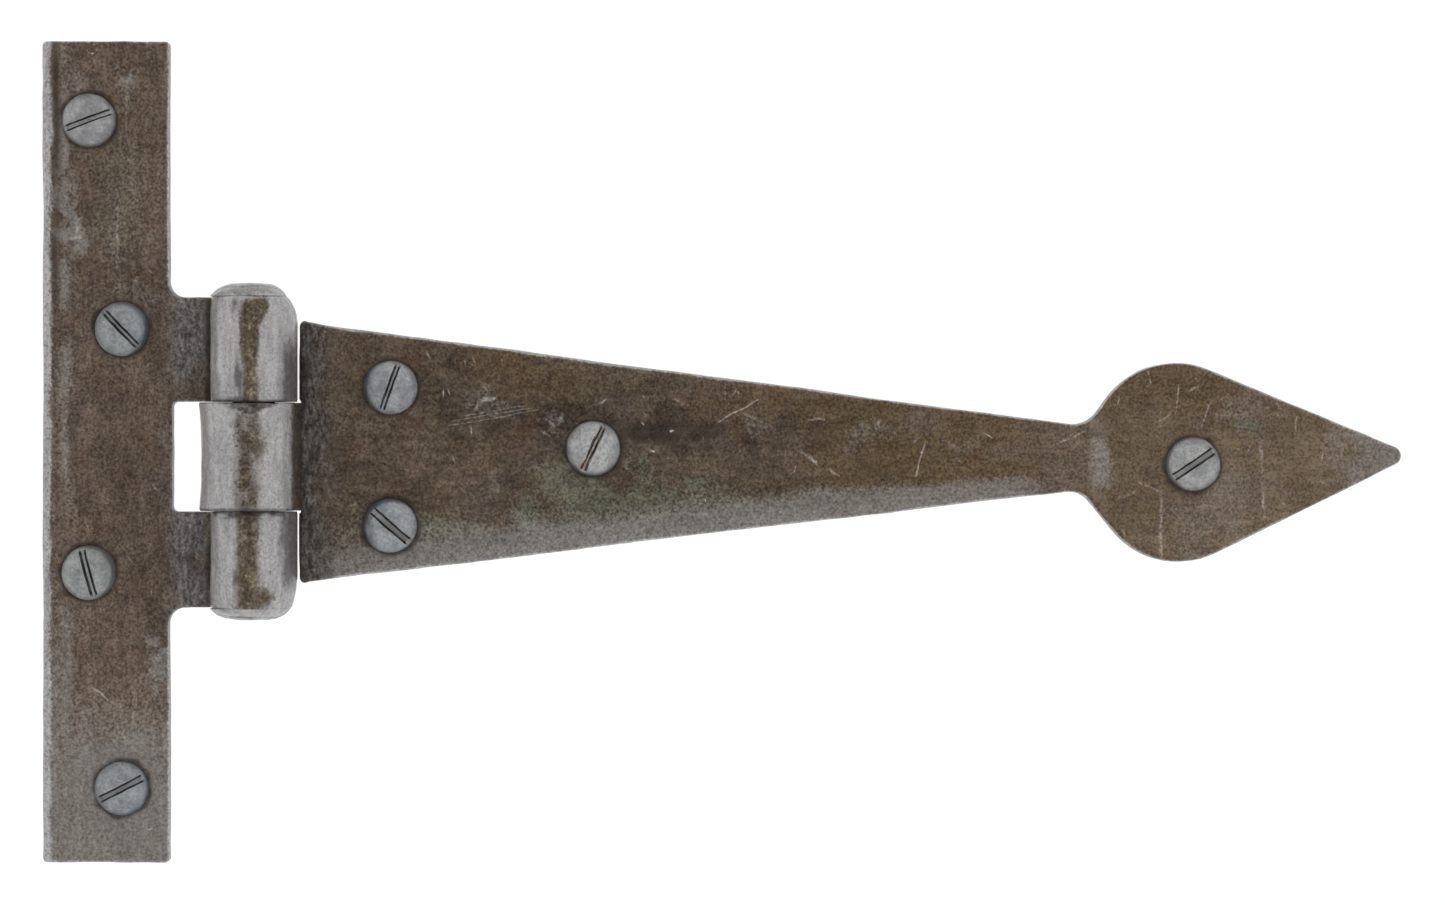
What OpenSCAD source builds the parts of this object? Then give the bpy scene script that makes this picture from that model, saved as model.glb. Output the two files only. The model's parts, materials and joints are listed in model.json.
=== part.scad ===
// Arrow-head T-hinge in forged iron: a cross plate and a long tapering strap, joined by a
// riveted pin, with the round-head wood screws that fix both leaves.
// The hinge stands upright. The pin runs along Z, the strap reaches along +X, both back
// faces lie in the plane y = 0 and the screws run back from it along +Y.
// The origin is the centre of the cross plate's back face.

/* [Leaves] */
// Thickness of both leaves
leaf_t = 3; // [2.8:0.1:3.2]
// How much thinner the spade end is drawn out than the strap
spade_thinning = 0.3; // [0.1:0.1:0.8]

/* [Cross plate] */
// Width of the cross plate
plate_w = 17.8; // [17:0.1:19]
// Height of the cross plate
plate_h = 115; // [110:1:130]
// Radius of the cross plate's corners
plate_corner_r = 0.6; // [0.3:0.1:2]
// Width of the bevel along the cross plate's free edge
plate_bevel_w = 1.3; // [0.5:0.1:2]
// Depth of the bevel along the cross plate's free edge
plate_bevel_depth = 1; // [0.5:0.1:1.5]
// Radius of the fillet where each tang leaves the cross plate
tang_fillet_r = 2.3; // [1:0.1:4]
// Width of the ledge left between the plate's edge line and the knuckle notch
notch_ledge = 0.5; // [0.2:0.1:1]
// Radius in the inner corners of the knuckle notch
notch_r = 0.7; // [0.3:0.1:2]

/* [Knuckles] */
// Distance from the plate's centre line to the pin's axis
pin_x = 21; // [20:0.1:23]
// Outer radius of the plate's two knuckles
knuckle_r = 6; // [5.8:0.1:6.2]
// Height of the upper knuckle's top end
knuckle_top = 21.7; // [20:0.1:24]
// Depth of the lower knuckle's bottom end
knuckle_bottom = 21.8; // [20:0.1:24]
// Height of the joint between the upper knuckle and the strap's eye
upper_joint = 6.95; // [5:0.05:9]
// Depth of the joint between the lower knuckle and the strap's eye
lower_joint = 8.25; // [5:0.05:9]
// Play between the eye and each knuckle, end to end
joint_play = 0.1; // [0.05:0.05:0.3]
// How far the outer ends of the knuckles narrow towards the rivet heads
knuckle_taper = 0.7; // [0.3:0.1:1]
// Length over which they narrow
knuckle_taper_l = 1.6; // [1:0.1:4]

/* [Pin] */
// Radius of the pin
pin_r = 3; // [2.6:0.1:3]
// Radial play of the pin in the plate's knuckles, which it is riveted into
fixed_play = 0.05; // [0.02:0.01:0.1]
// Radial play of the pin in the strap's eye, which turns on it
turning_play = 0.08; // [0.02:0.01:0.1]
// Height of the peened dome at the top of the pin
top_dome_h = 1.7; // [1:0.1:2]
// Height of the peened dome at the bottom of the pin
bottom_dome_h = 1.5; // [1:0.1:2]

/* [Strap eye] */
// Outer radius of the strap's eye, which is forged heavier than the knuckles
eye_r = 6.75; // [6.6:0.05:6.9]
// How far the eye's outside is off the pin's axis, towards the cross plate
eye_offset = 0.8; // [0:0.1:1]
// Chamfer on the eye's ends
eye_chamfer = 0.25; // [0.1:0.05:0.5]

/* [Strap] */
// Gap between the knuckles and the strap's shoulder
shoulder_gap = 0.4; // [0.3:0.1:1]
// Width of the strap at its shoulder
root_w = 36.6; // [34:0.2:40]
// Corner radius of the strap's shoulder
root_corner_r = 0.7; // [0.3:0.1:2]
// Distance from the plate's centre line to the strap's neck
neck_x = 136.9; // [130:0.1:140]
// Width of the neck
neck_w = 8.9; // [8:0.1:12]
// How far the neck has dropped below the plate's centre
neck_drop = 0.85; // [0:0.05:2]
// How far the neck's upper corner is ahead of its lower one
neck_skew = 0.9; // [0:0.1:2]
// Radius inside the neck's corners
neck_r = 3.8; // [2:0.1:4]

/* [Spade end] */
// Distance from the plate's centre line to the corners that the lobes round off
lobe_x = 146.2; // [145:0.1:148]
// Distance between those two corners
lobe_w = 33.7; // [32:0.1:35]
// How far the lobes have dropped below the plate's centre
lobe_drop = 1.55; // [0:0.05:2]
// How far the lower lobe's corner is ahead of the upper one
lobe_skew = 1.5; // [0:0.1:2]
// Radius of the lobes
lobe_r = 12; // [9:0.1:12.2]
// Distance from the plate's centre line to where the spade's straight edges would meet
tip_x = 183.5; // [178:0.1:190]
// How far the tip has dropped below the plate's centre
tip_drop = 0.4; // [0:0.05:2]
// Radius of the tip
tip_r = 1.4; // [0.5:0.1:3]
// Distance from the plate's centre line to the step down onto the spade
step_x = 139.2; // [138:0.1:142]

/* [Screws] */
// Length of a screw under its head
screw_l = 25.4; // [22:0.1:32]
// Radius of a screw's head
head_r = 3.8; // [3.5:0.1:4]
// Height of a screw's domed head
head_h = 2.1; // [1.6:0.1:2.4]
// Width of the driver slot
slot_w = 0.95; // [0.7:0.05:1.2]
// Depth of the driver slot
slot_depth = 1.3; // [0.8:0.1:1.4]
// Radius of the neck that fills the leaf's hole
screw_neck_r = 2.27; // [2.24:0.01:2.3]
// Radius of the plain shank behind the leaf
shank_r = 2.05; // [1.9:0.01:2.08]
// Length of the plain shank behind the leaf
shank_l = 5.5; // [4:0.1:8]
// Radius at the bottom of the thread
thread_root_r = 1.45; // [1.2:0.05:1.6]
// Distance from one thread crest to the next
thread_pitch = 1.7; // [1.5:0.1:2]
// Length of the tapering gimlet point
point_l = 5.1; // [4:0.1:6]
// Radius of the screw holes in the leaves
screw_hole_r = 2.4; // [2.35:0.05:2.6]

/* [Screw places] */
// Heights of the cross plate's screws, from the top down
plate_screw_z = [46.4, 17.2, -16.9, -47.1]; // [-52:0.1:52]
// Sideways stagger of the cross plate's screws about its centre line
plate_screw_stagger = 2.3; // [0:0.1:3]
// Distance of the strap's pair of root screws from the plate's centre line
root_screw_x = 39.9; // [38:0.1:50]
// Heights of the root screws: upper, lower
root_screw_z = [9, -10.3]; // [-12:0.1:12]
// Place of the strap's middle screw: along, up
middle_screw = [68.3, 0.5]; // [0:0.1:100]
// Place of the spade's screw: along, down
spade_screw = [152.3, 1.7]; // [0:0.1:160]
// Turn of each plate screw's slot from level, from the top down
plate_slot_turn = [20, -46, -75, 27]; // [-90:1:90]
// Turn of each strap screw's slot from level: root upper, root lower, middle, spade
strap_slot_turn = [70, -41, 64, 34]; // [-90:1:90]

/* [Hidden] */
$fn = 96;

// Extra length of a cutter past the surface that it cuts through
over = 1;
// Largest turn of one facet on a rounded corner of an outline
facet_turn = 6;
// How far short of a barrel's axis its flat leaf stops, inside the barrel
leaf_lap = 1;

pin_y = -knuckle_r;
eye_x = pin_x - eye_offset;
eye_y = -eye_r;
eye_top = upper_joint - joint_play / 2;
eye_bottom = -lower_joint + joint_play / 2;
upper_knuckle_bottom = upper_joint + joint_play / 2;
lower_knuckle_top = -lower_joint - joint_play / 2;
dome_r = knuckle_r - knuckle_taper;
shoulder_x = pin_x + knuckle_r + shoulder_gap;

plate_screw_at = [for (i = [0 : 3]) [(i % 2 == 0 ? -1 : 1) * plate_screw_stagger, plate_screw_z[i]]];
strap_screw_at = [
    [root_screw_x, root_screw_z[0]],
    [root_screw_x, root_screw_z[1]],
    middle_screw,
    [spade_screw[0], -spade_screw[1]]
];

iron = "#5d5149";
worn_iron = "#8d8985";
screw_steel = "#a2a6aa";

function unit(v) = v / norm(v);

// Signed turn from direction a to direction b, between -180 and 180 degrees
function turn_between(a, b) = (b - a + 540) % 360 - 180;

// The points that round the corner b of the path a-b-c with radius r
function rounded_corner(a, b, c, r) =
    let (
        to_a = unit(a - b),
        to_c = unit(c - b),
        half = acos(to_a * to_c) / 2,
        centre = b + unit(to_a + to_c) * r / sin(half),
        start = b + to_a * r / tan(half) - centre,
        end = b + to_c * r / tan(half) - centre,
        first = atan2(start.y, start.x),
        sweep = turn_between(first, atan2(end.y, end.x)),
        steps = ceil(abs(sweep) / facet_turn)
    )
    [
        for (i = [0 : steps])
            let (turn = first + sweep * i / steps)
            centre + r * [cos(turn), sin(turn)]
    ];

// A closed path of [x, y, radius] corners, each rounded with its own radius
function rounded_path(path) =
    let (n = len(path))
    [
        for (i = [0 : n - 1])
            let (
                before = path[(i + n - 1) % n],
                here = path[i],
                after = path[(i + 1) % n]
            )
            each here.z == 0
                ? [[here.x, here.y]]
                : rounded_corner([before.x, before.y], [here.x, here.y], [after.x, after.y], here.z)
    ];

// Sets its children's flat outline upright with the back face in y = 0 and thickens it
module leaf_from_outline(thickness) {
    rotate([90, 0, 0])
        linear_extrude(thickness)
            children();
}

// Bores through a leaf at each of the given places
module screw_holes(places) {
    for (p = places)
        translate([p.x, over, p.y])
            rotate([90, 0, 0])
                cylinder(r = screw_hole_r, h = leaf_t + 2 * over);
}

// A barrel on the Z axis whose ends narrow by the given amounts over the given lengths
module barrel(r, bottom, top, narrow_bottom, narrow_top, length_bottom, length_top) {
    rotate_extrude()
        polygon([
            [0, bottom],
            [r - narrow_bottom, bottom],
            [r, bottom + length_bottom],
            [r, top - length_top],
            [r - narrow_top, top],
            [0, top]
        ]);
}

// A plain bore along the pin's axis
module pin_bore(play) {
    translate([pin_x, pin_y, -knuckle_bottom - over])
        cylinder(r = pin_r + play, h = knuckle_top + knuckle_bottom + 2 * over);
}

module plate_outline() {
    half_w = plate_w / 2;
    half_h = plate_h / 2;
    tang_end = pin_x - leaf_lap;
    polygon(rounded_path([
        [-half_w, half_h, plate_corner_r],
        [-half_w, -half_h, plate_corner_r],
        [half_w, -half_h, plate_corner_r],
        [half_w, -knuckle_bottom, tang_fillet_r],
        [tang_end, -knuckle_bottom, 0],
        [tang_end, lower_knuckle_top, 0],
        [half_w + notch_ledge, lower_knuckle_top, notch_r],
        [half_w + notch_ledge, upper_knuckle_bottom, notch_r],
        [tang_end, upper_knuckle_bottom, 0],
        [tang_end, knuckle_top, 0],
        [half_w, knuckle_top, tang_fillet_r],
        [half_w, half_h, plate_corner_r]
    ]));
}

// The wedge that is dressed off the plate's free front edge
module plate_bevel() {
    slope = plate_bevel_depth / plate_bevel_w;
    edge_x = -plate_w / 2;
    translate([0, 0, -plate_h / 2 - over])
        linear_extrude(plate_h + 2 * over)
            polygon([
                [edge_x - over, -leaf_t + plate_bevel_depth + slope * over],
                [edge_x - over, -leaf_t - over],
                [edge_x + plate_bevel_w + over / slope, -leaf_t - over]
            ]);
}

// Cross plate with two tangs rolled into knuckles
module plate_leaf() {
    color(iron)
        difference() {
            union() {
                leaf_from_outline(leaf_t)
                    plate_outline();
                translate([pin_x, pin_y, 0]) {
                    barrel(
                        knuckle_r, upper_knuckle_bottom, knuckle_top,
                        0, knuckle_taper, 0, knuckle_taper_l
                    );
                    barrel(
                        knuckle_r, -knuckle_bottom, lower_knuckle_top,
                        knuckle_taper, 0, knuckle_taper_l, 0
                    );
                }
            }
            pin_bore(fixed_play);
            plate_bevel();
            screw_holes(plate_screw_at);
        }
}

module strap_outline() {
    eye_edge = eye_x + leaf_lap;
    half_root = root_w / 2;
    polygon(rounded_path([
        [eye_edge, eye_top, 0],
        [eye_edge, eye_bottom, 0],
        [shoulder_x, eye_bottom, 0],
        [shoulder_x, -half_root, root_corner_r],
        [neck_x - neck_skew / 2, -neck_drop - neck_w / 2, neck_r],
        [lobe_x + lobe_skew / 2, -lobe_drop - lobe_w / 2, lobe_r],
        [tip_x, -tip_drop, tip_r],
        [lobe_x - lobe_skew / 2, -lobe_drop + lobe_w / 2, lobe_r],
        [neck_x + neck_skew / 2, -neck_drop + neck_w / 2, neck_r],
        [shoulder_x, half_root, root_corner_r],
        [shoulder_x, eye_top, 0]
    ]));
}

// The skin that is drawn off the front of the spade end, leaving a step at the neck
module spade_step() {
    translate([step_x, -leaf_t - over, -lobe_w])
        cube([tip_x - step_x, spade_thinning + over, 2 * lobe_w]);
}

// Strap with an arrow-head end, rolled into the middle eye
module strap_leaf() {
    color(iron)
        difference() {
            union() {
                leaf_from_outline(leaf_t)
                    strap_outline();
                translate([eye_x, eye_y, 0])
                    barrel(eye_r, eye_bottom, eye_top, eye_chamfer, eye_chamfer, eye_chamfer, eye_chamfer);
            }
            pin_bore(turning_play);
            spade_step();
            screw_holes(strap_screw_at);
        }
}

// A dome of the given base radius and height, standing on z = 0
module dome(base_r, height) {
    ball_r = (base_r * base_r + height * height) / (2 * height);
    intersection() {
        translate([0, 0, height - ball_r])
            sphere(r = ball_r);
        cylinder(r = base_r + over, h = height + over);
    }
}

// Pin with both ends peened over the knuckles
module hinge_pin() {
    color(worn_iron)
        translate([pin_x, pin_y, 0]) {
            translate([0, 0, -knuckle_bottom - bottom_dome_h / 2])
                cylinder(r = pin_r, h = knuckle_top + knuckle_bottom + (top_dome_h + bottom_dome_h) / 2);
            translate([0, 0, knuckle_top])
                dome(dome_r, top_dome_h);
            mirror([0, 0, 1])
                translate([0, 0, knuckle_bottom])
                    dome(dome_r, bottom_dome_h);
        }
}

// How far the thread has tapered at depth z under the head: 1 on the body, 0 at the point
function point_taper(z) = min(1, (screw_l - z) / point_l);

// Outline of half a screw below its head: neck, plain shank, thread rings and gimlet point
function screw_profile() =
    let (
        inside_head = -head_h / 5,
        neck_end = leaf_t - (screw_neck_r - shank_r),
        thread_start = leaf_t + shank_l,
        rings = floor((screw_l - thread_start) / thread_pitch)
    )
    concat(
        [
            [0, inside_head],
            [screw_neck_r, inside_head],
            [screw_neck_r, neck_end],
            [shank_r, leaf_t],
            [shank_r, thread_start]
        ],
        [
            for (i = [0 : rings - 1])
                let (
                    root_z = thread_start + (i + 0.3) * thread_pitch,
                    crest_z = root_z + thread_pitch / 2
                )
                each [
                    [thread_root_r * point_taper(root_z), root_z],
                    [shank_r * point_taper(crest_z), crest_z]
                ]
        ],
        [[0, screw_l]]
    );

// Round-head wood screw in the front of a leaf, its slot turned from level
module wood_screw(place, slot_turn) {
    color(screw_steel)
        translate([place.x, -leaf_t, place.y])
            rotate([-90, 0, 0])
                union() {
                    difference() {
                        mirror([0, 0, 1])
                            dome(head_r, head_h);
                        rotate([0, 0, -slot_turn])
                            translate([-head_r - over, -slot_w / 2, -head_h - over])
                                cube([2 * (head_r + over), slot_w, slot_depth + over]);
                    }
                    rotate_extrude()
                        polygon(screw_profile());
                }
}

module plate_screw(i) {
    wood_screw(plate_screw_at[i], plate_slot_turn[i]);
}

// The spade's screw sits deeper, on the thinner metal, by the step's height
module strap_screw(i) {
    seat_drop = strap_screw_at[i].x > step_x ? spade_thinning : 0;
    translate([0, seat_drop, 0])
        wood_screw(strap_screw_at[i], strap_slot_turn[i]);
}

plate_leaf();
strap_leaf();
hinge_pin();
plate_screw(0);  // plate_screw_top
plate_screw(1);  // plate_screw_upper
plate_screw(2);  // plate_screw_lower
plate_screw(3);  // plate_screw_bottom
strap_screw(0);  // strap_screw_root_upper
strap_screw(1);  // strap_screw_root_lower
strap_screw(2);  // strap_screw_middle
strap_screw(3);  // strap_screw_spade
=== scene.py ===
"""Looks of the arrow-head T-hinge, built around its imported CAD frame.

The hinge stands upright: the pin is along Z, the strap reaches along +X and the front faces -Y.
Shapes are worked out in millimetres and written to meshes in metres.
"""

import json
import math
from collections import namedtuple

import bpy
import numpy as np
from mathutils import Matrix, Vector
from mathutils.geometry import delaunay_2d_cdt
from mathutils.kdtree import KDTree


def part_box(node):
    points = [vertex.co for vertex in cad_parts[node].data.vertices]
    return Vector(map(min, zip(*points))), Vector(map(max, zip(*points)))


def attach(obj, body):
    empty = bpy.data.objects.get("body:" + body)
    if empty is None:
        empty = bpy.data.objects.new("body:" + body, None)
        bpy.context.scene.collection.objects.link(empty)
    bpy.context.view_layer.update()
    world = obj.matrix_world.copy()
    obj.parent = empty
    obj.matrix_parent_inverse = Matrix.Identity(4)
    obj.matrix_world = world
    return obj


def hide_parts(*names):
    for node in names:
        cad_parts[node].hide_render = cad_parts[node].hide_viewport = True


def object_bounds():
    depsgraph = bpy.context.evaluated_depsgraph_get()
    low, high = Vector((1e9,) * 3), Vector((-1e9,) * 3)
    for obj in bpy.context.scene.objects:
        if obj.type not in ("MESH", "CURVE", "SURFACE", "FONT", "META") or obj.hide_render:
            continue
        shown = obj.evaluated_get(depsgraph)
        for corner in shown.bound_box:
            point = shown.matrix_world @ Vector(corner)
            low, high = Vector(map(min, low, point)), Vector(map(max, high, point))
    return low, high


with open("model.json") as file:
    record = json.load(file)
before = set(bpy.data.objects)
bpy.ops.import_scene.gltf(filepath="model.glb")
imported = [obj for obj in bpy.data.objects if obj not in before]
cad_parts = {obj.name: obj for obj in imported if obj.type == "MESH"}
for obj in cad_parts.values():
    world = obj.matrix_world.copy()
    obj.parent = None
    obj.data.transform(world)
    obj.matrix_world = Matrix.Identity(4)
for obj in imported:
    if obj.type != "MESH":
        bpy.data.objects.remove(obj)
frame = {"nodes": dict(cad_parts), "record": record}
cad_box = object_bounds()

MM = 0.001
CRISP_ANGLE = 50

# ---- the frame's own places


def node_box(node):
    """Lowest and highest corner of a CAD node, in millimetres."""
    lo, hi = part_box(node)
    return np.array(lo) / MM, np.array(hi) / MM


PLATE_LO, PLATE_HI = node_box("plate_leaf")
STRAP_LO = node_box("strap_leaf")[0]
PIN_LO, PIN_HI = node_box("hinge_pin")
PIN_X, PIN_Y = (v / MM for v in frame["record"]["behaviour"]["joints"][0]["pos_m"][:2])

# Thicknesses, radii and ends: from the boxes, or else the CAD's own
LEAF_T, SPADE_T = 3.0, 2.7
STEP_X = 139.2  # where the strap thins to the spade
KNUCKLE_R = PLATE_HI[0] - PIN_X
EYE_R = -STRAP_LO[1] / 2
EYE_X = STRAP_LO[0] + EYE_R
PIN_R, BORE_R, EYE_BORE_R = 3.0, 3.05, 3.08
UPPER_KNUCKLE = (7.0, 21.7)
LOWER_KNUCKLE = (-21.8, -8.3)
EYE = (-8.2, 6.9)
SHOULDER_X = KNUCKLE_R + PIN_X + 0.4

PLATE_SCREWS = ("plate_screw_top", "plate_screw_upper", "plate_screw_lower", "plate_screw_bottom")
STRAP_SCREWS = (
    "strap_screw_root_upper", "strap_screw_root_lower", "strap_screw_middle", "strap_screw_spade",
)

# ---- seeded noise


def lattice(cell, seed):
    """A repeatable value between -1 and 1 for each whole-number cell."""
    c = cell.astype(np.int64).astype(np.uint64)
    h = c[:, 0] * np.uint64(374761393) + c[:, 1] * np.uint64(668265263)
    h = h + c[:, 2] * np.uint64(1442695041) + np.uint64(seed * 974634777 + 12345)
    h = (h ^ (h >> np.uint64(13))) * np.uint64(1274126177)
    h = (h ^ (h >> np.uint64(16))) & np.uint64(0xFFFFFF)
    return h.astype(float) / 0x7FFFFF - 1.0


def noise(points, size, seed=0):
    """Smooth noise between -1 and 1 whose bumps are about size millimetres wide."""
    q = points / np.asarray(size, float)
    base = np.floor(q)
    w = q - base
    w = w * w * (3 - 2 * w)
    total = np.zeros(len(q))
    for corner in np.ndindex(2, 2, 2):
        c = np.array(corner)
        weight = np.prod(np.where(c, w, 1 - w), axis=1)
        total += weight * lattice(base + c, seed)
    return total


def layered(points, size, seed=0, layers=3):
    """Noise with finer layers on top, each half as wide and half as high."""
    total, height = np.zeros(len(points)), 1.0
    for i in range(layers):
        total += height * noise(points, np.asarray(size, float) / 2**i, seed + 17 * i)
        height *= 0.5
    return total


def ridged(points, size, seed=0):
    """Noise with sharp creases: 1 along a crease, falling to 0."""
    return 1 - np.abs(noise(points, size, seed))


def ramp(value, low, high):
    """0 below low, 1 above high, and smooth between."""
    t = np.clip((value - low) / (high - low), 0, 1)
    return t * t * (3 - 2 * t)


def most(*fields):
    """The greatest of several fields at each point."""
    return np.maximum.reduce(np.broadcast_arrays(*fields))


# ---- mesh helpers


def mesh_object(name, verts_mm, faces):
    """A mesh object from millimetre points and faces."""
    me = bpy.data.meshes.new(name)
    me.from_pydata((np.asarray(verts_mm) * MM).tolist(), [], faces)
    me.validate()
    me.update()
    ob = bpy.data.objects.new(name, me)
    bpy.context.scene.collection.objects.link(ob)
    return ob


def full_turn(count):
    """Evenly spaced angles round a circle."""
    return np.arange(count) * 2 * math.pi / count


def ring_faces(rows, cols, closed=False):
    """Quads between rings of cols points each. Closed joins the last ring to the first."""
    faces = []
    for r in range(rows if closed else rows - 1):
        a, b = r * cols, (r + 1) % rows * cols
        faces += [(a + c, a + (c + 1) % cols, b + (c + 1) % cols, b + c) for c in range(cols)]
    return faces


def turned_mesh(name, rings, ends=None):
    """A closed mesh through rings of points, with a point at each end: by default, the ring's middle."""
    n = len(rings[0])
    verts = np.vstack([*rings, *(ends or (rings[0].mean(axis=0), rings[-1].mean(axis=0)))])
    last = (len(rings) - 1) * n
    faces = ring_faces(len(rings), n)
    faces += [((i + 1) % n, i, len(verts) - 2) for i in range(n)]
    faces += [(last + i, last + (i + 1) % n, len(verts) - 1) for i in range(n)]
    return mesh_object(name, verts, [f[::-1] for f in faces])


def combined(name, operation, base, *others):
    """One closed mesh from base and others, by union or difference. The inputs are used up."""
    for other in others:
        cut = base.modifiers.new("combine", "BOOLEAN")
        cut.operation = operation
        cut.solver = "MANIFOLD"
        cut.object = other
    shaped = base.evaluated_get(bpy.context.evaluated_depsgraph_get())
    me = bpy.data.meshes.new_from_object(shaped)
    me.name = name
    for used in (base, *others):
        bpy.data.objects.remove(used, do_unlink=True)
    ob = bpy.data.objects.new(name, me)
    bpy.context.scene.collection.objects.link(ob)
    return ob


def points_of(ob):
    """The object's mesh points, in millimetres."""
    co = np.empty(len(ob.data.vertices) * 3)
    ob.data.vertices.foreach_get("co", co)
    return co.reshape(-1, 3) / MM


def rim_of(ob, p):
    """1 on the rounded front rim of a leaf, 0 on its flats and its back."""
    normals = np.empty(len(p) * 3)
    ob.data.vertices.foreach_get("normal", normals)
    return ramp(1 - np.abs(normals[1::3]), 0.04, 0.2) * ramp(-p[:, 1], 1.8, 2.4)


def set_masks(ob, **masks):
    """Stores one value per point under each name, for the materials to read."""
    for name, values in masks.items():
        layer = ob.data.attributes.new(name, "FLOAT", "POINT")
        values = np.clip(values, 0, 1) * np.ones(len(ob.data.vertices))
        layer.data.foreach_set("value", values.astype(np.float32))


def shade(ob):
    """Smooth shading, with sharp edges left crisp."""
    ob.data.shade_smooth()
    ob.data.set_sharp_from_angle(angle=math.radians(CRISP_ANGLE))


# ---- material helper


def shown(colour):
    """A colour given as it looks on a screen, 0 to 255, turned into light values."""
    levels = np.array(colour) / 255
    return (*np.where(levels <= 0.04045, levels / 12.92, ((levels + 0.055) / 1.055) ** 2.4), 1.0)


class Look:
    """A node tree that is built up step by step. Sizes are in millimetres."""

    def __init__(self, name="", tree=None):
        if tree is None:
            self.material = bpy.data.materials.new(name)
            self.material.use_nodes = True
            tree = self.material.node_tree
        self.tree = tree
        self.place = self.node("TexCoord").outputs["Object"]

    def feed(self, socket, value):
        if isinstance(value, bpy.types.NodeSocket):
            self.tree.links.new(value, socket)
        else:
            socket.default_value = value

    def node(self, kind, *values, **settings):
        made = self.tree.nodes.new("ShaderNode" + kind)
        for key, value in settings.items():
            setattr(made, key, value)
        for socket, value in zip(made.inputs, values):
            self.feed(socket, value)
        return made

    def maths(self, operation, *values):
        return self.node("Math", *values, operation=operation).outputs[0]

    def spread(self, value, low, high, out_low=0.0, out_high=1.0):
        """A smooth step from out_low at low to out_high at high."""
        made = self.node("MapRange", value, low, high, out_low, out_high, interpolation_type="SMOOTHSTEP")
        return made.outputs[0]

    def times(self, a, b):
        return self.maths("MULTIPLY", a, b)

    def most(self, first, *others):
        for other in others:
            first = self.maths("MAXIMUM", first, other)
        return first

    def mix(self, amount, a, b, blend="MIX"):
        """From a to b as amount goes from 0 to 1. Colours of three values are as they look on a screen."""
        made = self.node("Mix", data_type="RGBA", blend_type=blend)
        self.feed(made.inputs[0], amount)
        for socket, colour in ((made.inputs[6], a), (made.inputs[7], b)):
            self.feed(socket, shown(colour) if isinstance(colour, tuple) and len(colour) == 3 else colour)
        return made.outputs[2]

    def laid(self, colour, amount, strength, over):
        """A colour with another one laid over it, as strongly as amount times strength."""
        return self.mix(self.times(amount, strength), colour, over)

    def mask(self, name):
        return self.node("Attribute", attribute_name=name).outputs["Fac"]

    def fill(self, made, **values):
        """Feeds a node's inputs by name, with _ for a space."""
        for key, value in values.items():
            self.feed(made.inputs[key.replace("_", " ")], value)
        return made.outputs[0]

    def noise(self, size, seed, detail=3.0, rough=0.55, stretch=(1, 1, 1), twist=0.0):
        """Noise from 0 to 1, its bumps about size millimetres wide times stretch."""
        where = self.fill(self.node("Mapping", self.place), Scale=[1 / (size * MM * s) for s in stretch])
        return self.fill(self.node("TexNoise", noise_dimensions="4D"), Vector=where, W=seed * 7.31,
                         Scale=1.0, Detail=detail, Roughness=rough, Distortion=twist)

    def bump(self, height, depth, **normal):
        """A bumped normal from height 0 to 1, depth millimetres deep."""
        return self.fill(self.node("Bump"), Strength=1.0, Distance=depth * MM, Height=height, **normal)

    def finish(self, colour, roughness, **values):
        self.fill(self.tree.nodes["Principled BSDF"], Base_Color=colour, Roughness=roughness, **values)


# ---- forged leaves

GRID = 0.27  # distance between points on a leaf's front and round a barrel
BACK_GRID = 1.1  # distance between points on its back
EDGE_STEP = 0.25  # distance between points round its outline
EDGE_RINGS = (0.07, 0.17, 0.32, 0.52)  # how far in from the outline the rows beside it lie
EDGE_BACK = 0.12  # how much the back's edge is broken
EDGE_ROUND, EDGE_VARIES = 0.3, 0.12  # radius of the front edge's rounding, and how much it varies
MIN_GAP = 0.09  # the least distance between points inside a leaf's front
WALL_ROWS = 7  # rows of faces down a leaf's edge
END_SHARES = (0.15, 0.4, 0.7)  # how far in from a barrel's rim the rings on its ends lie
BORE_ROWS = 9
HOLE_SIDES = 40
MARK_DEPTH = 0.05
MARK_STEP = 0.13  # distance between points along a wear mark


def back_loops(node):
    """The closed outlines of a CAD leaf's flat back face, as (x, z) points. The longest comes first."""
    me = frame["nodes"][node].data
    edges = {}
    for poly in me.polygons:
        corners = [me.vertices[i].co / MM for i in poly.vertices]
        if poly.normal.y < 0.999 or max(abs(c.y) for c in corners) > 0.01:
            continue
        keys = [(round(c.x, 3), round(c.z, 3)) for c in corners]
        for a, b in zip(keys, keys[1:] + keys[:1]):
            if (b, a) in edges:
                del edges[(b, a)]
            else:
                edges[(a, b)] = True
    after = {a: b for a, b in edges}
    loops = []
    while after:
        start = next(iter(after))
        loop, here = [], start
        while here in after:
            loop.append(here)
            here = after.pop(here)
        loops.append(np.array(loop))
    return sorted(loops, key=lambda p: -np.ptp(p, axis=0).sum())


def resampled(loop, step):
    """The same closed outline with evenly spaced points."""
    closed = np.vstack([loop, loop[:1]])
    run = np.concatenate([[0], np.cumsum(np.linalg.norm(np.diff(closed, axis=0), axis=1))])
    count = max(12, round(run[-1] / step))
    at = np.arange(count) * run[-1] / count
    return np.column_stack([np.interp(at, run, closed[:, 0]), np.interp(at, run, closed[:, 1])])


def signed_area(loop):
    x, y = loop[:, 0], loop[:, 1]
    return 0.5 * np.sum(x * np.roll(y, -1) - np.roll(x, -1) * y)


def inward(loop):
    """Unit normals that point to the inside of an outline."""
    along = np.roll(loop, -1, axis=0) - np.roll(loop, 1, axis=0)
    along /= np.linalg.norm(along, axis=1)[:, None]
    side = np.column_stack([-along[:, 1], along[:, 0]])
    return side * np.sign(signed_area(loop))


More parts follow.
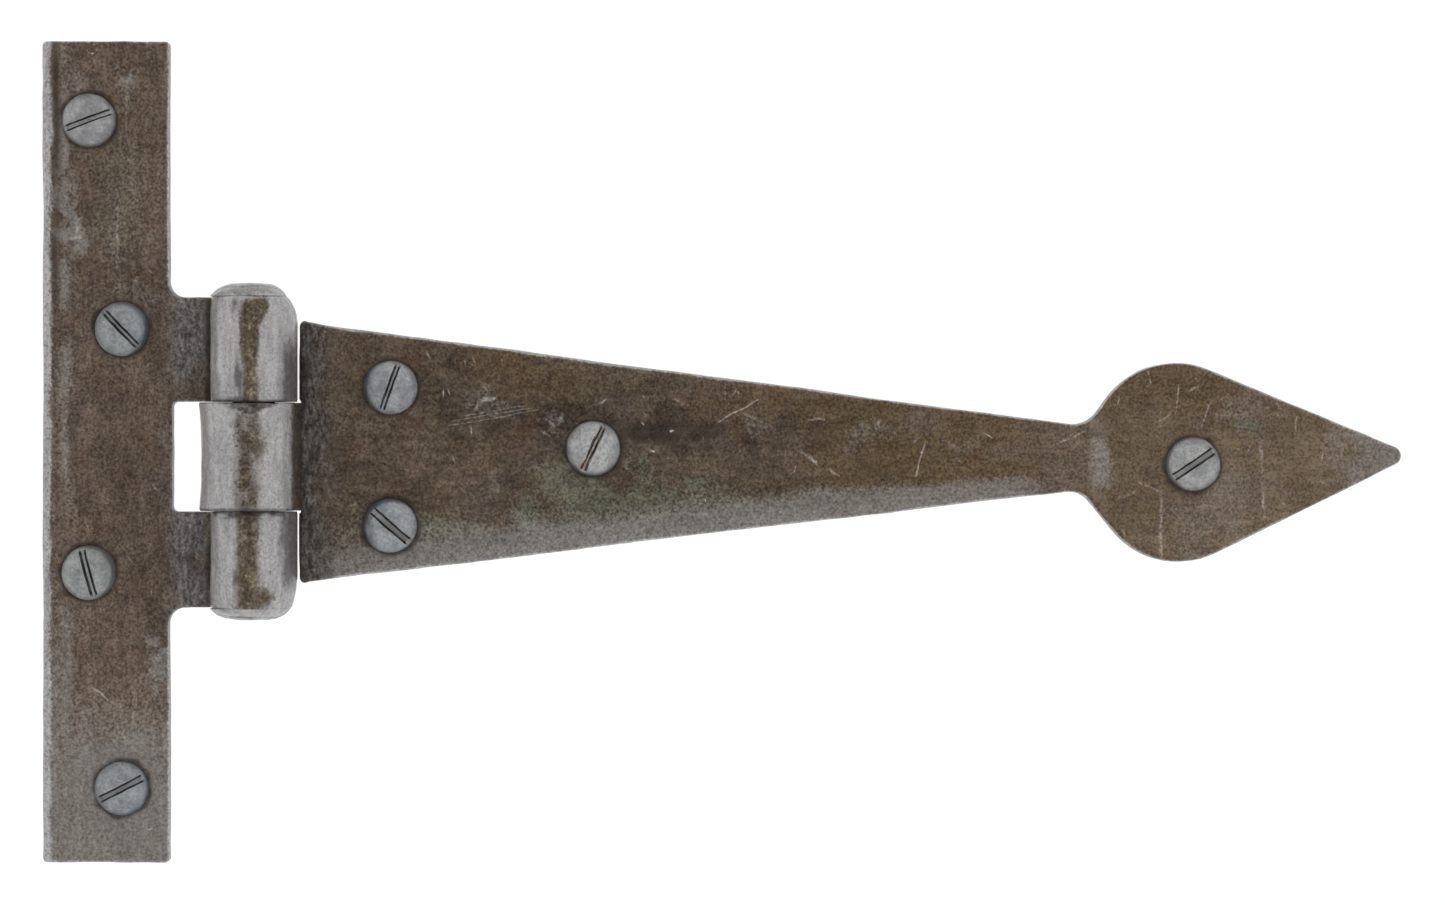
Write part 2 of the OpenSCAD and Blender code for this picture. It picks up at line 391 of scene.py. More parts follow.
def inside(points, loop):
    """Which points lie inside a closed outline."""
    result = np.zeros(len(points), bool)
    x, y = points[:, 0], points[:, 1]
    for (x0, y0), (x1, y1) in zip(loop, np.roll(loop, -1, axis=0)):
        if y0 == y1:
            continue
        crosses = (y0 > y) != (y1 > y)
        result ^= crosses & (x < x0 + (y - y0) * (x1 - x0) / (y1 - y0))
    return result


def on_leaf(points):
    """(x, z) points as (x, 0, z)."""
    return np.column_stack([points[:, 0], np.zeros(len(points)), points[:, 1]])


def nearest(tree, points):
    """Distance from each (x, z) point to the nearest point in the tree."""
    return np.array([tree.find((p[0], p[1], 0))[2] for p in points])


def tree_of(points):
    tree = KDTree(len(points))
    for i, p in enumerate(points):
        tree.insert((p[0], p[1], 0), i)
    tree.balance()
    return tree


def thinned(groups, gap):
    """The points of all groups in order, leaving out any that fall within gap of one already taken."""
    cells, kept = {}, []
    for group in groups:
        for p in group:
            i, j = math.floor(p[0] / gap), math.floor(p[1] / gap)
            near = (q for a in (-1, 0, 1) for b in (-1, 0, 1) for q in cells.get((i + a, j + b), ()))
            if all((p[0] - q[0]) ** 2 + (p[1] - q[1]) ** 2 >= gap * gap for q in near):
                cells.setdefault((i, j), []).append(p)
                kept.append(p)
    return np.array(kept)


def triangles(loops, inner):
    """Triangles over loose points inside the first outline, leaving the other outlines open."""
    points = np.vstack([*loops, inner]) if len(inner) else np.vstack(loops)
    edges, start = [], 0
    for loop in loops:
        n = len(loop)
        edges += [(start + i, start + (i + 1) % n) for i in range(n)]
        start += n
    made = delaunay_2d_cdt([Vector(p) for p in points], edges, [], 1, 1e-7)
    if len(made[0]) != len(points):
        raise ValueError("the triangulation merged or added points")
    tris = np.array([t for t in made[2]])
    keep = np.ones(len(tris), bool)
    start = len(loops[0])
    for loop in loops[1:]:
        keep &= ~np.all((tris >= start) & (tris < start + len(loop)), axis=1)
        start += len(loop)
    return points, tris[keep]


def mark_path(mark, seed):
    """Centre line of a wear mark, as (x, z) points from x, z. Short ones wander more than long ones."""
    x, z, length, turn = mark[:4]
    run = np.arange(0, length + 0.01, MARK_STEP)
    track = np.column_stack([run, run * 0 + 31.7 * seed, run * 0])
    bend = 12 * noise(track, 3.0, seed) + 24 * noise(track, 0.7, seed + 1)
    heading = np.radians(turn + bend * min(1, 2.2 / length))
    steps = MARK_STEP * np.column_stack([np.cos(heading), np.sin(heading)])
    return np.array([x, z]) + np.cumsum(steps, axis=0)


def small_nicks(node, count, seed):
    """Short light marks scattered over a leaf, in the same form as the listed ones."""
    rng = np.random.default_rng(seed)
    lo, hi = node_box(node)
    return [
        (rng.uniform(lo[0], hi[0]), rng.uniform(lo[2], hi[2]), rng.exponential(0.5) + 0.15,
         rng.uniform(0, 180), rng.uniform(0.07, 0.14), rng.uniform(0.25, 0.75))
        for _ in range(count)
    ]


class Marks:
    """Scratches and nicks in a leaf's front: rows of mesh points, and how deep and bright each one is."""

    def __init__(self, marks):
        self.rows, self.found = [], []
        paths = [mark_path(mark, i) for i, mark in enumerate(marks)]
        for path, (*_, half_width, strength) in zip(paths, marks):
            along = np.gradient(path, axis=0)
            along /= np.linalg.norm(along, axis=1)[:, None]
            side = np.column_stack([-along[:, 1], along[:, 0]])
            for offset in (0, -0.5, 0.5, -1.1, 1.1):
                self.rows.append(path + side * offset * half_width)
            place = np.arange(len(path))
            fade = np.clip(np.minimum(place, place[::-1]) / 4 + 0.25, 0, 1)
            self.found += [(half_width, strength * f) for f in fade]
        self.tree = tree_of(np.vstack(paths))

    def strength(self, points):
        """How much of a mark each (x, z) point shows, 0 to 1."""
        hits = [self.tree.find((p[0], p[1], 0)) for p in points]
        d = np.array([hit[2] for hit in hits])
        half_width, strength = np.array([self.found[hit[1]] for hit in hits]).T
        flat = on_leaf(points)
        ragged = half_width * (0.8 + 0.4 * noise(flat, 0.6, 77))
        worn_off = 0.5 + 0.5 * ramp(noise(flat, 1.2, 78), -0.5, 0.3)
        return strength * worn_off * np.clip(1 - (d / ragged) ** 2, 0, 1)


def clear_of_edges(points, outline, holes, tree, margin, gap):
    """The points that lie margin inside an outline and gap outside its holes."""
    points = points[inside(points, outline)]
    points = points[nearest(tree, points) > margin]
    for centre, radius in holes:
        points = points[np.linalg.norm(points - centre, axis=1) > radius + gap]
    return points


def filling(outline, step):
    """Evenly spread (x, z) points over the box round an outline."""
    lo, hi = outline.min(axis=0), outline.max(axis=0)
    made = []
    for i, z in enumerate(np.arange(lo[1], hi[1], step * math.sqrt(3) / 2)):
        x = np.arange(lo[0] + (step / 2 if i % 2 else 0), hi[0], step)
        made.append(np.column_stack([x, np.full(len(x), z)]))
    return np.vstack(made)


def facing(points, tris, y_sign):
    """The triangles, each turned to face along +Y or -Y."""
    a, b, c = (points[tris[:, i]] for i in range(3))
    wrong = np.cross(b - a, c - a)[:, 1] * y_sign < 0
    turned = tris.copy()
    turned[wrong] = tris[wrong][:, ::-1]
    return turned


def leaf_slab(name, node, front, waver, seed, marks):
    """The flat part of a forged leaf as one closed mesh, with its front edge rounded and its marks cut.

    front(points, d) gives y on the front at (x, 0, z) points that lie d from the outline, and
    waver(points) moves the outline in and out.
    """
    cad = back_loops(node)
    outer = resampled(cad[0], EDGE_STEP)
    outer = outer + inward(outer) * waver(on_leaf(outer))[:, None]
    normals = inward(outer)
    holes = [((loop.min(axis=0) + loop.max(axis=0)) / 2, np.ptp(loop[:, 0]) / 2) for loop in cad[1:]]
    turns = full_turn(HOLE_SIDES)
    circle = np.column_stack([np.cos(turns), np.sin(turns)])
    loops = [outer, *(centre + radius * circle for centre, radius in holes)]
    tree = tree_of(resampled(outer, EDGE_STEP / 4))

    rings = []
    for offset in EDGE_RINGS:
        ring = outer + normals * offset
        rings.append(ring[nearest(tree, ring) > offset * 0.93])
    edges = outer, holes, tree
    cuts = clear_of_edges(np.vstack(marks.rows), *edges, EDGE_RINGS[-1] + 0.1, 0.1)
    field = clear_of_edges(filling(outer, GRID), *edges, EDGE_RINGS[-1] + GRID * 0.6, GRID * 0.6)
    flat, front_tris = triangles(loops, np.vstack([*rings, thinned([cuts, field], MIN_GAP)]))
    front_points = on_leaf(flat)
    d = nearest(tree, flat)
    d[: len(outer)] = 0
    r = EDGE_ROUND + EDGE_VARIES * noise(front_points, 6, seed)
    into = np.clip(r - d, 0, None)
    front_points[:, 1] = front(front_points, d) + r - np.sqrt(np.clip(r * r - into * into, 0, None))
    front_points[:, 1] += MARK_DEPTH * marks.strength(flat)

    field = clear_of_edges(filling(outer, BACK_GRID), *edges, BACK_GRID * 0.5, BACK_GRID * 0.6)
    flat, back_tris = triangles(loops, field)
    back_points = on_leaf(flat)
    back_points[: len(outer), 1] = -EDGE_BACK

    verts = [front_points, back_points]
    first_back = len(front_points)
    faces = facing(front_points, front_tris, -1).tolist()
    faces += (facing(back_points, back_tris, 1) + first_back).tolist()
    count, start = first_back + len(back_points), 0
    for loop in loops:
        n, is_hole = len(loop), loop is not outer
        row = np.arange(start, start + n)
        start += n
        rows = [row]
        for share in [0.5] if is_hole else np.arange(1, WALL_ROWS) / WALL_ROWS:
            wall = front_points[row] * (1 - share) + back_points[row] * share
            if not is_hole:
                push = 0.05 * noise(wall, 2.2, 71) + 0.03 * noise(wall, 0.8, 72)
                wall[:, [0, 2]] += normals * push[:, None]
            verts.append(wall)
            rows.append(np.arange(count, count + n))
            count += n
        rows.append(row + first_back)
        order = 1 if (signed_area(loop) < 0) != is_hole else -1
        for upper, lower in zip(rows[:-1], rows[1:]):
            quads = np.column_stack([upper, np.roll(upper, -1), np.roll(lower, -1), lower])
            faces += quads[:, ::order].tolist()
    return mesh_object(name, np.vstack(verts), faces)


def around(turns, z, r, centre=(PIN_X, PIN_Y)):
    """Points round an upright axis, which is the pin's by default, at angles, heights and radii."""
    z = z * np.ones(len(turns))
    return np.column_stack([centre[0] + r * np.cos(turns), centre[1] + r * np.sin(turns), z])


def barrel(name, centre, radius, bottom, top, bore, outer_shape):
    """A barrel along Z with a bore round the pin's axis.

    outer_shape(angle, z, r) gives the true outer radius and z there.
    """
    turns = full_turn(round(2 * math.pi * radius / GRID))
    outside = []
    for z in np.linspace(bottom, top, round((top - bottom) / GRID)):
        r, zs = outer_shape(turns, np.full(len(turns), z), np.full(len(turns), float(radius)))
        outside.append(around(turns, zs, r, centre))
    bored = [around(turns, z, bore) for z in np.linspace(top, bottom, BORE_ROWS)]
    top_end = [outside[-1] * (1 - k) + bored[0] * k for k in END_SHARES]
    bottom_end = [outside[0] * (1 - k) + bored[-1] * k for k in END_SHARES[::-1]]
    rings = [*outside, *top_end, *bored, *bottom_end]
    return mesh_object(name, np.vstack(rings), ring_faces(len(rings), len(turns), closed=True))


def end_rounding(z, end, radius):
    """How much a barrel's outside draws in beside one of its ends."""
    into = np.clip(radius - np.abs(z - end), 0, None)
    return radius - np.sqrt(np.clip(radius * radius - into * into, 0, None))


TOP_TAPER = (0.15, 1.3, 2.8)  # on the tang side, on the strap side, length
BOTTOM_TAPER = (0.1, 0.75, 3.5)


def end_taper(turns, depth, taper):
    """How far a knuckle narrows at depth from where its taper starts."""
    near, far, length = taper
    amount = near + (far - near) * (1 + np.cos(turns)) / 2
    return amount * np.clip(depth / length, 0, 1) ** 1.6


def barrel_dents(p, seed):
    """Hammer facets that run along a barrel, with small dents over them."""
    facets = 0.11 * noise(p, (2.6, 2.6, 7), seed) + 0.06 * noise(p, (1.6, 1.6, 2.4), seed + 4)
    return facets + 0.025 * noise(p, (0.7, 0.7, 6), seed + 2) + 0.018 * noise(p, 0.8, seed + 1) - 0.03


def knuckle_shape(bottom, top, seed, taper, at_top):
    """The outside of a knuckle that narrows to its outer end, in the form that barrel() takes."""
    outer_end, inner_end = (top, bottom) if at_top else (bottom, top)

    def shape(turns, z, r):
        p = around(turns, z, r)
        depth = taper[2] - np.abs(z - outer_end)
        drawn = r - end_taper(turns, depth, taper) - end_rounding(z, outer_end, 0.12)
        drawn -= end_rounding(z, inner_end, 0.08)
        right = ramp(np.cos(turns), 0.8, 1)
        drawn += barrel_dents(p, seed) * (1 - right) + 0.12 * right * ramp(depth, 0, -1)
        chipped = ramp(noise(p, (1.2, 1.2, 0.9), seed + 8), 0.1, 0.6) * ramp(-np.sin(turns), 0.3, 0.7)
        drawn -= 0.3 * chipped * (1 - ramp(np.abs(z - inner_end), 0.3, 1.3))
        return np.minimum(drawn, r + 0.12), z

    return shape


def broken_out(p, z):
    """1 where a piece has broken out of the front of the eye's top end."""
    across = p[:, 0] - PIN_X + 0.1
    reach = 1.7 * np.exp(-((across / 3.2) ** 2)) + 0.22 * noise(p, (0.8, 0.8, 9), 37)
    in_front = ramp(PIN_Y - p[:, 1], 3.2, 4.4) * (1 - ramp(np.abs(across), 3.6, 4.4))
    return in_front * ramp(z, EYE[1] - reach, EYE[1] - reach + 0.3)


def eye_shape(turns, z, r):
    """The outside of the eye, waisted on the plate's side, with the broken-out place."""
    p = around(turns, z, r, (EYE_X, -EYE_R))
    bottom, top = EYE
    middle, half = (bottom + top) / 2, (top - bottom) / 2
    waist = 0.35 * (1 - ((z - middle) / half) ** 2) * ramp(-np.cos(turns), 0.2, 1)
    drawn = r - waist - end_rounding(z, bottom, 0.2) - end_rounding(z, top, 0.1)
    drawn += barrel_dents(p, 33)
    broken = broken_out(p, z)
    crumpled = 0.75 + 0.25 * noise(p, (0.8, 0.8, 0.6), 36)
    drawn = np.minimum(drawn, r) - 1.0 * broken * crumpled
    return drawn, z - 0.15 * broken * ramp(z, top - 1, top)


def forged_front(p, thickness, seed):
    """The hand-worked front of a leaf: broad hammer marks, small dents and pits."""
    y = 0.05 * (1 + noise(p, 11, seed)) - thickness
    for i, (size, height) in enumerate(((3.5, 0.014), (1.3, 0.007), (0.6, 0.006)), 1):
        y += height * noise(p, size, seed + i)
    pits = ramp(noise(p, 0.8, seed + 4), 0.6, 0.85) * ramp(noise(p, 7, seed + 5), -0.2, 0.6)
    return y + 0.05 * pits


def crackle(p, seed):
    """Long upright folds that hammering round the pin leaves in the metal: 0 to about 1."""
    bent = p.copy()
    bent[:, 0] += 0.5 * noise(p, (2, 2, 3), seed)
    folds = ridged(bent, (1.2, 1.2, 4.5), seed + 1) ** 6
    fine = ridged(bent, (0.6, 0.6, 1.8), seed + 2) ** 3
    return 0.6 * folds + 0.6 * fine


def eased_max(a, b, ease):
    """The greater of a and b, with the crease between them eased."""
    t = np.clip(0.5 + (b - a) / (2 * ease), 0, 1)
    return a + (b - a) * t + ease * t * (1 - t)


def plate_front(p, _):
    """The plate's front: crackled tangs, a broad bevel down the left and a narrow one down the right."""
    x = p[:, 0]
    y = forged_front(p, LEAF_T, 11) + ramp(x, 9.5, 11.5) * (0.05 * crackle(p, 41) - 0.02)
    bevel_w = 1.35 + 0.35 * noise(p, (3, 3, 6), 51) + 0.2 * noise(p, 1.4, 54)
    bevel = -LEAF_T + 1.0 * (1 - (x - PLATE_LO[0]) / bevel_w) + 0.05 * noise(p, (1.5, 1.5, 3), 52)
    right_w = 0.35 + 0.15 * noise(p, (5, 5, 5), 53)
    right = -LEAF_T + 0.14 * (1 - (8.9 - x) / right_w)
    beyond_tangs = np.abs(p[:, 2]) > 24
    y = eased_max(y, bevel, 0.1)
    return np.where(beyond_tangs, np.maximum(y, right), y)


def strap_thickness(p):
    ragged = p[:, 0] + 0.5 * noise(p, 2.5, 61) + 0.25 * noise(p, 0.9, 63)
    return LEAF_T + (SPADE_T - LEAF_T) * ramp(ragged, STEP_X - 1.5, STEP_X + 1.2)


def strap_front(p, d):
    """The strap's front: a crackled root, a low edge that falls away broadly and a worn upper edge."""
    x = p[:, 0]
    y = forged_front(p, strap_thickness(p), 12)
    y += (1 - ramp(x, 29.0, 31.5)) * (0.05 * crackle(p, 43) - 0.02)
    broad = np.clip(1 - d / 3.2, 0, 1) ** 1.7 * ramp(x, 27, 34) * (1 - ramp(x, 118, 136))
    upper = np.clip(1 - d / 0.45, 0, 1) * (0.7 + 0.3 * noise(p, 5, 62)) * (1 - 0.7 * ramp(x, 85, 110))
    return y + np.where(p[:, 2] < -1, 0.34 * broad, 0.28 * upper)


def plate_waver(p):
    calm = 1 - ramp(p[:, 0], 9.0, 10.0)
    return calm * (0.1 * noise(p, 11, 81) + 0.05 * noise(p, 2.6, 82)) + 0.04


def strap_waver(p):
    x, z = p[:, 0], p[:, 2]
    calm = ramp(x, SHOULDER_X + 1, SHOULDER_X + 4)
    past_eye = np.maximum(z - EYE[1], EYE[0] - z)
    near_knuckles = (1 - ramp(x, SHOULDER_X + 0.3, SHOULDER_X + 1)) * ramp(past_eye, 0.1, 0.5)
    proud = near_knuckles * (0.22 + 0.09 * (1 - ramp(past_eye, 6, 9)))
    return calm * (0.1 * noise(p, 12, 83) + 0.05 * noise(p, 2.8, 84) + 0.03) - proud


# Wear marks as x, z, length, turn from level in degrees, half width and strength
PLATE_MARKS = [
    (4.1, 35.6, 0.8, -75, 0.16, 1.0), (7.3, 38.8, 0.2, 60, 0.15, 0.9), (3.1, 41.4, 0.9, -80, 0.12, 0.5),
    (-2.6, 56.2, 1.2, -30, 0.15, 0.7), (-4.6, 31.8, 1.6, 20, 0.3, 0.5), (-5.2, 29.8, 2.0, 15, 0.28, 0.6),
    (-3.9, 30.6, 1.3, 70, 0.25, 0.6), (1.7, 35.0, 9.5, -90, 0.22, 0.3), (3.0, 50.0, 6.0, -88, 0.18, 0.2),
    (-2.0, -33.0, 3.4, -38, 0.22, 0.45), (1.4, -38.6, 3.0, -52, 0.25, 0.4),
    (2.9, -39.4, 2.6, -60, 0.2, 0.4), (5.8, -53.0, 0.9, 15, 0.14, 0.9), (3.0, -28.0, 0.6, -70, 0.14, 0.7),
    (6.4, -20.0, 0.4, 80, 0.14, 0.8), (-6.4, -24.0, 1.3, -15, 0.14, 0.5), (-7.1, -30.6, 0.3, 40, 0.16, 0.8),
    (6.6, -4.2, 1.4, -80, 0.16, 0.6), (0.6, 22.2, 2.4, 25, 0.12, 0.3), (-3.0, 22.6, 3.0, 18, 0.12, 0.25),
    (5.6, 26.0, 1.8, -50, 0.12, 0.4),
]
STRAP_MARKS = [
    (47.6, 3.6, 13.4, 9, 0.11, 0.45), (48.2, 4.3, 11.5, 9, 0.1, 0.35), (50.0, 5.0, 9.0, 8, 0.1, 0.3),
    (52.4, 7.2, 2.4, 8, 0.35, 0.55), (51.6, 5.6, 1.8, 40, 0.3, 0.5), (47.4, 9.0, 1.3, -90, 0.12, 0.7),
    (47.9, 9.0, 1.1, -90, 0.1, 0.6), (44.8, 14.4, 1.3, -60, 0.18, 0.6), (50.4, 13.6, 1.4, -90, 0.14, 0.4),
    (51.4, 13.4, 1.3, -90, 0.13, 0.4), (55.4, 13.2, 1.1, -85, 0.13, 0.5), (69.0, 6.7, 1.3, 30, 0.25, 0.5),
    (79.2, 7.7, 2.0, -35, 0.25, 0.45), (86.8, 9.8, 2.6, -92, 0.12, 0.4), (85.6, 4.0, 7.0, 31, 0.13, 0.7),
    (87.6, 7.6, 1.5, 65, 0.16, 0.7), (88.4, 8.8, 1.4, -70, 0.16, 0.7), (89.4, 5.5, 2.6, -40, 0.28, 0.5),
    (98.3, 4.5, 2.7, -3, 0.22, 0.4), (97.2, 0.2, 3.0, -42, 0.3, 0.75), (101.0, -2.2, 2.0, -42, 0.25, 0.6),
    (95.6, -3.5, 2.2, 48, 0.11, 0.45), (108.0, 3.6, 1.0, 60, 0.3, 0.45), (113.0, 1.4, 0.6, 20, 0.3, 0.8),
    (114.9, 1.7, 5.2, -106, 0.16, 0.85), (118.6, -0.4, 1.6, -35, 0.2, 0.4),
    (122.4, 2.8, 2.0, -22, 0.12, 0.6), (132.4, 0.8, 5.2, 25, 0.14, 0.8), (82.0, -6.6, 0.8, 60, 0.1, 0.7),
    (82.4, -6.0, 1.1, 0, 0.1, 0.7), (83.9, -6.3, 0.9, -75, 0.1, 0.7), (82.3, -7.1, 1.3, 5, 0.1, 0.7),
    (75.1, 4.2, 0.3, -60, 0.16, 4.0), (79.0, 2.8, 0.3, 20, 0.18, 4.0), (76.4, 0.3, 0.4, -50, 0.15, 3.5),
    (72.8, -2.4, 0.3, 0, 0.16, 3.5), (62.0, 4.6, 1.6, -50, 0.3, 0.6), (63.2, 3.9, 1.5, 60, 0.3, 0.7),
    (61.0, 2.9, 1.6, -20, 0.25, 0.5), (145.7, 11.4, 2.2, -54, 0.13, 0.7),
    (150.3, 9.6, 4.2, -101, 0.13, 0.75), (149.5, 5.4, 3.3, 207, 0.16, 0.4),
    (154.8, 7.1, 3.9, -108, 0.12, 0.7), (151.6, 8.7, 1.4, 15, 0.25, 0.6), (161.7, 2.0, 11.5, -88, 0.3, 0.4),
    (147.8, -5.0, 9.8, -90, 0.3, 0.5), (144.2, -3.9, 3.8, -18, 0.2, 0.4), (166.9, 5.3, 2.4, -95, 0.13, 0.6),
    (175.1, 1.1, 4.6, -90, 0.14, 0.4), (170.7, 0.6, 2.2, -112, 0.11, 0.4),
    (173.6, 1.4, 2.0, -118, 0.11, 0.4), (163.9, 7.3, 1.6, -75, 0.13, 0.5),
    (141.6, -6.6, 3.0, 12, 0.3, 0.45), (157.3, 0.2, 1.5, 20, 0.15, 0.6),
]


# Pale bloom on the plate as x, z, half width, half height and amount, and on the strap as x, z, size
PLATE_HAZE = [
    (-4.4, 30.5, 2.2, 2.2, 0.9), (-5.6, 36, 1.8, 6, 0.7), (3.2, 53, 1.6, 1.4, 0.7),
    (7.8, -30, 2.0, 4, 0.75), (-6.4, -38, 1.6, 16, 0.6), (1.6, 29, 1.2, 9, 0.35),
    (-4.0, 51.5, 2.0, 2.5, 0.4), (6.0, 22, 3.0, 3.0, 0.3),
]
STRAP_HAZE = [(53, 7.5, 1.9), (91, 3.8, 1.6), (108, 3, 2.6), (120, 0.4, 1.8), (158, 6, 2.2), (63, 4, 1.6)]


def patch(p, x, z, rx, rz, seed, ragged=0.5):
    """1 inside a ragged patch about x, z that fades out round its edge."""
    r = np.hypot((p[:, 0] - x) / rx, (p[:, 2] - z) / rz)
    return 1 - ramp(r + ragged * layered(p, 0.7 * min(rx, rz), seed), 0.2, 1.4)


def between(value, low, high, soft=0.3):
    """1 between low and high, fading over soft on either side of each."""
    return ramp(value, low - soft, low + soft) * (1 - ramp(value, high - soft, high + soft))


def patches(p, places, first_seed, ragged):
    """The most that any of several patches shows. Each is x, z, half width, half height and amount."""
    return most(*(amount * patch(p, *place, first_seed + i, ragged)
                  for i, (*place, amount) in enumerate(places)))


def near_end(z, end, reach):
    """1 at a barrel's end, fading to 0 at reach from it."""
    return 1 - ramp(np.abs(z - end), 0.1, reach)


def screw_shadow(p, nodes, seed):
    """Painted contact shadow round the screw heads."""
    halo = np.zeros(len(p))
    for node in nodes:
        x, _, z = sum(node_box(node)) / 2
        r = np.hypot(p[:, 0] - x, p[:, 2] - z)
        halo = np.maximum(halo, 1 - ramp(r + 0.35 * noise(p, 1.5, seed), HEAD_R, HEAD_R + 0.9))
    return halo


def paint_plate(ob, marks):
    """Masks for the plate's material: painted shade, pale rubbed metal with painted sheen, pale bloom,
    crackle, green, scratches, and brown with a painted dark reflection down the barrels.
    """
    p = points_of(ob)
    x, z = p[:, 0], p[:, 2]
    from_edge = x - PLATE_LO[0]
    flat = ramp(-p[:, 1], 1.2, 2.2) * (1 - ramp(x, 13.5, 14.5))
    tang = ramp(x, 7.5, 11.0) * (1 - ramp(x, 15.5, 17)) * (1 - ramp(np.abs(z), 22.5, 24.5))
    barrels = ramp(x, 14.4, 15.2)

    tone = 0.58 + 0.12 * noise(p, (5, 5, 9), 201) - 0.2 * patch(p, 4, -11, 8, 14, 202)
    tone += 0.3 * ramp(-z, 22, 46) - 0.14 * patch(p, 8, 17, 5, 9, 203)
    strip = np.exp(-((from_edge - 3.3) / 1.2) ** 2) * ramp(noise(p, (2, 2, 6), 219), -0.6, 0.4)
    haze = 0.8 * ramp(-z + 3 * noise(p, 6, 204), 24, 52) + 0.4 * patch(p, 1, -46, 7, 8, 205)
    haze = most(haze, 0.8 * strip, patches(p, PLATE_HAZE, 206, 0.8))
    # A painted shadow in a line beside the bevel.
    beside_bevel = np.exp(-((from_edge - 2.0 - 0.3 * noise(p, 4, 212)) / 0.65) ** 2)
    line = 0.75 * most(ramp(z, 36, 42), 0.8 * ramp(noise(p, (3, 3, 9), 213) + 0.02 * z, -0.4, 0.6))
    line *= beside_bevel * (0.75 + 0.4 * noise(p, (0.8, 0.8, 1.6), 226))

    bevelled = 1 - ramp(from_edge + 0.4 * noise(p, (1, 1, 2), 227), 0.8, 1.7)
    bevelled *= ramp(-p[:, 1] + 0.3 * noise(p, (2, 1, 2), 228), 0.6, 1.6)
    across = x - PIN_X + 0.35 * noise(p, (2, 2, 3), 216) + 0.15 * noise(p, 0.8, 221)
    is_upper = z > 0
    # Down each barrel's middle, which faces the front, brown with a painted dark reflection.
    brown = np.where(is_upper, between(across, -1.1, 0.95 + 1.5 * ramp(z, 16, 20.5), 0.8),
                     between(across, -1.9, 0.9, 1.0))
    brown = most(brown, 0.9 * patch(p, PIN_X + 1.4, -20.4, 1.8, 1.5, 222))
    brown *= 1 - 0.7 * near_end(z + 0.4 * noise(p, 1.0, 229), UPPER_KNUCKLE[1], 1.2)
    # Painted shade on the barrels' right sides, which turn away, and in a streak left of their middles.
    shaded = np.where(is_upper, (1 - 0.7 * ramp(z, 12, 18)) * ramp(across, 3.3, 5.0),
                      ramp(z, -21, -17) * ramp(across, 3.3, 4.8))
    shaded = most(shaded, between(across, -2.4, -1.3) * ramp(noise(p, (1, 1, 2.5), 223), -0.3, 0.5))
    # Painted shade at the knuckles' inner ends, where they meet the eye.
    inner_end_shade = most(near_end(z, UPPER_KNUCKLE[0], 0.4),
                      near_end(z + 0.5 * noise(p, 1.1, 224), LOWER_KNUCKLE[1], 1.0))
    # The dark mask is painted shade: beside the bevel, round the screw heads, on the barrels, at the
    # knuckles' inner ends and where the barrels meet the leaf.
    dark = most(line, 0.8 * screw_shadow(p, PLATE_SCREWS, 214) * flat,
                barrels * most(0.85 * shaded, inner_end_shade),
                0.8 * between(x, 13.9, 15.0) * ramp(noise(p, (1, 1, 4), 225), -0.5, 0.2))

    is_leaf = 1 - ramp(x, 13.5, 14.5)
    # Pale metal on the barrels' sides, the bevel and the front rim: rubbed metal, with painted sheen where
    # these turn to the light.
    worn = most(barrels * (1 - brown), 0.8 * bevelled, 0.7 * rim_of(ob, p) * is_leaf)
    set_masks(ob, tone=tone, back=ramp(p[:, 1], -0.6, -0.1), haze=haze * flat, dark=dark, worn=worn,
              crackle=tang * flat * ramp(noise(p, (1.5, 1.5, 4), 217), -0.9, 0.1), brown=brown * barrels,
              green=0.35 * patch(p, 1.5, 38, 5, 14, 218), scratch=marks.strength(p[:, [0, 2]]) * flat)


